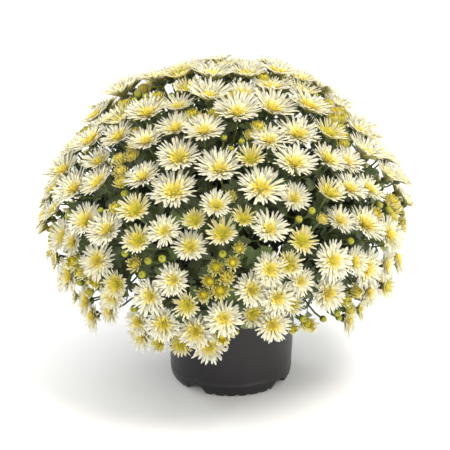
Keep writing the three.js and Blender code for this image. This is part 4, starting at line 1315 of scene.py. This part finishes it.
class MUM_OT_studio(bpy.types.Operator):
    """Lays the pale floor and sets the soft lights and the camera"""

    bl_idname = "mum.studio"
    bl_label = "Studio"

    def execute(self, context):
        settings = context.scene.mum_studio
        mesh = bpy.data.meshes.new("studio_floor")
        ways = ((-1, -1), (1, -1), (1, 1), (-1, 1))
        mesh.from_pydata([(x * FLOOR_HALF, y * FLOOR_HALF, 0) for x, y in ways], [], [(0, 1, 2, 3)])
        mesh.materials.append(finish_once(white_studio_card, settings))
        floor = placed("studio_floor", mesh)
        world = bpy.data.worlds.new("studio_sky")
        world.use_nodes = True
        background = world.node_tree.nodes["Background"]
        background.inputs[0].default_value = SKY_COLOUR
        background.inputs[1].default_value = settings.sky
        context.scene.world = world
        for name, place, size, watts, hex_colour in LIGHTS:
            light = bpy.data.lights.new(name, "AREA")
            light.shape = "DISK"
            light.size = size
            light.energy = watts
            light.color = linear(hex_colour)
            lamp = placed(name, light)
            lamp.location = place
            aim = LIGHT_TARGET - lamp.location
            lamp.rotation_euler = aim.to_track_quat("-Z", "Y").to_euler()
        view = bpy.data.cameras.new("studio_camera")
        view.sensor_width = SENSOR_WIDTH
        view.lens = CAMERA_LENS
        camera = placed("studio_camera", view)
        camera.location = Vector(POT_AXIS * MM) + CAMERA_FROM_POT
        camera.rotation_euler = (math.radians(90) - CAMERA_DROP, 0, 0)
        context.scene.camera = camera
        context.scene.view_settings.view_transform = "Standard"
        return {"FINISHED"}


PLANT_OPERATORS = (MUM_OT_pot, MUM_OT_potting_mix, MUM_OT_open_blooms, MUM_OT_leafy_stems)
OPERATORS = (*PLANT_OPERATORS, MUM_OT_studio)
SETTINGS = {
    "mum_flowers": FlowerSettings,
    "mum_foliage": FoliageSettings,
    "mum_pot": PotSettings,
    "mum_studio": StudioSettings,
}


class MUM_PT_panel(bpy.types.Panel):
    """The plant's settings and the steps that build it"""

    bl_idname = "MUM_PT_panel"
    bl_label = "Pot Chrysanthemum"
    bl_space_type = "VIEW_3D"
    bl_region_type = "UI"
    bl_category = "Chrysanthemum"

    def draw(self, context):
        for name, group in SETTINGS.items():
            box = self.layout.box()
            for setting in group.__annotations__:
                box.prop(getattr(context.scene, name), setting)
        for operator in OPERATORS:
            self.layout.operator(operator.bl_idname)


def register():
    for name, group in SETTINGS.items():
        bpy.utils.register_class(group)
        setattr(bpy.types.Scene, name, bpy.props.PointerProperty(type=group))
    for made in (*OPERATORS, MUM_PT_panel):
        bpy.utils.register_class(made)


def unregister():
    for made in (MUM_PT_panel, *reversed(OPERATORS)):
        bpy.utils.unregister_class(made)
    for name, group in reversed(SETTINGS.items()):
        delattr(bpy.types.Scene, name)
        bpy.utils.unregister_class(group)


def main():
    register()
    bpy.ops.mum.studio()
    bpy.ops.mum.pot()
    bpy.ops.mum.potting_mix()
    bpy.ops.mum.open_blooms()
    bpy.ops.mum.leafy_stems()


if __name__ == "__main__":
    main()
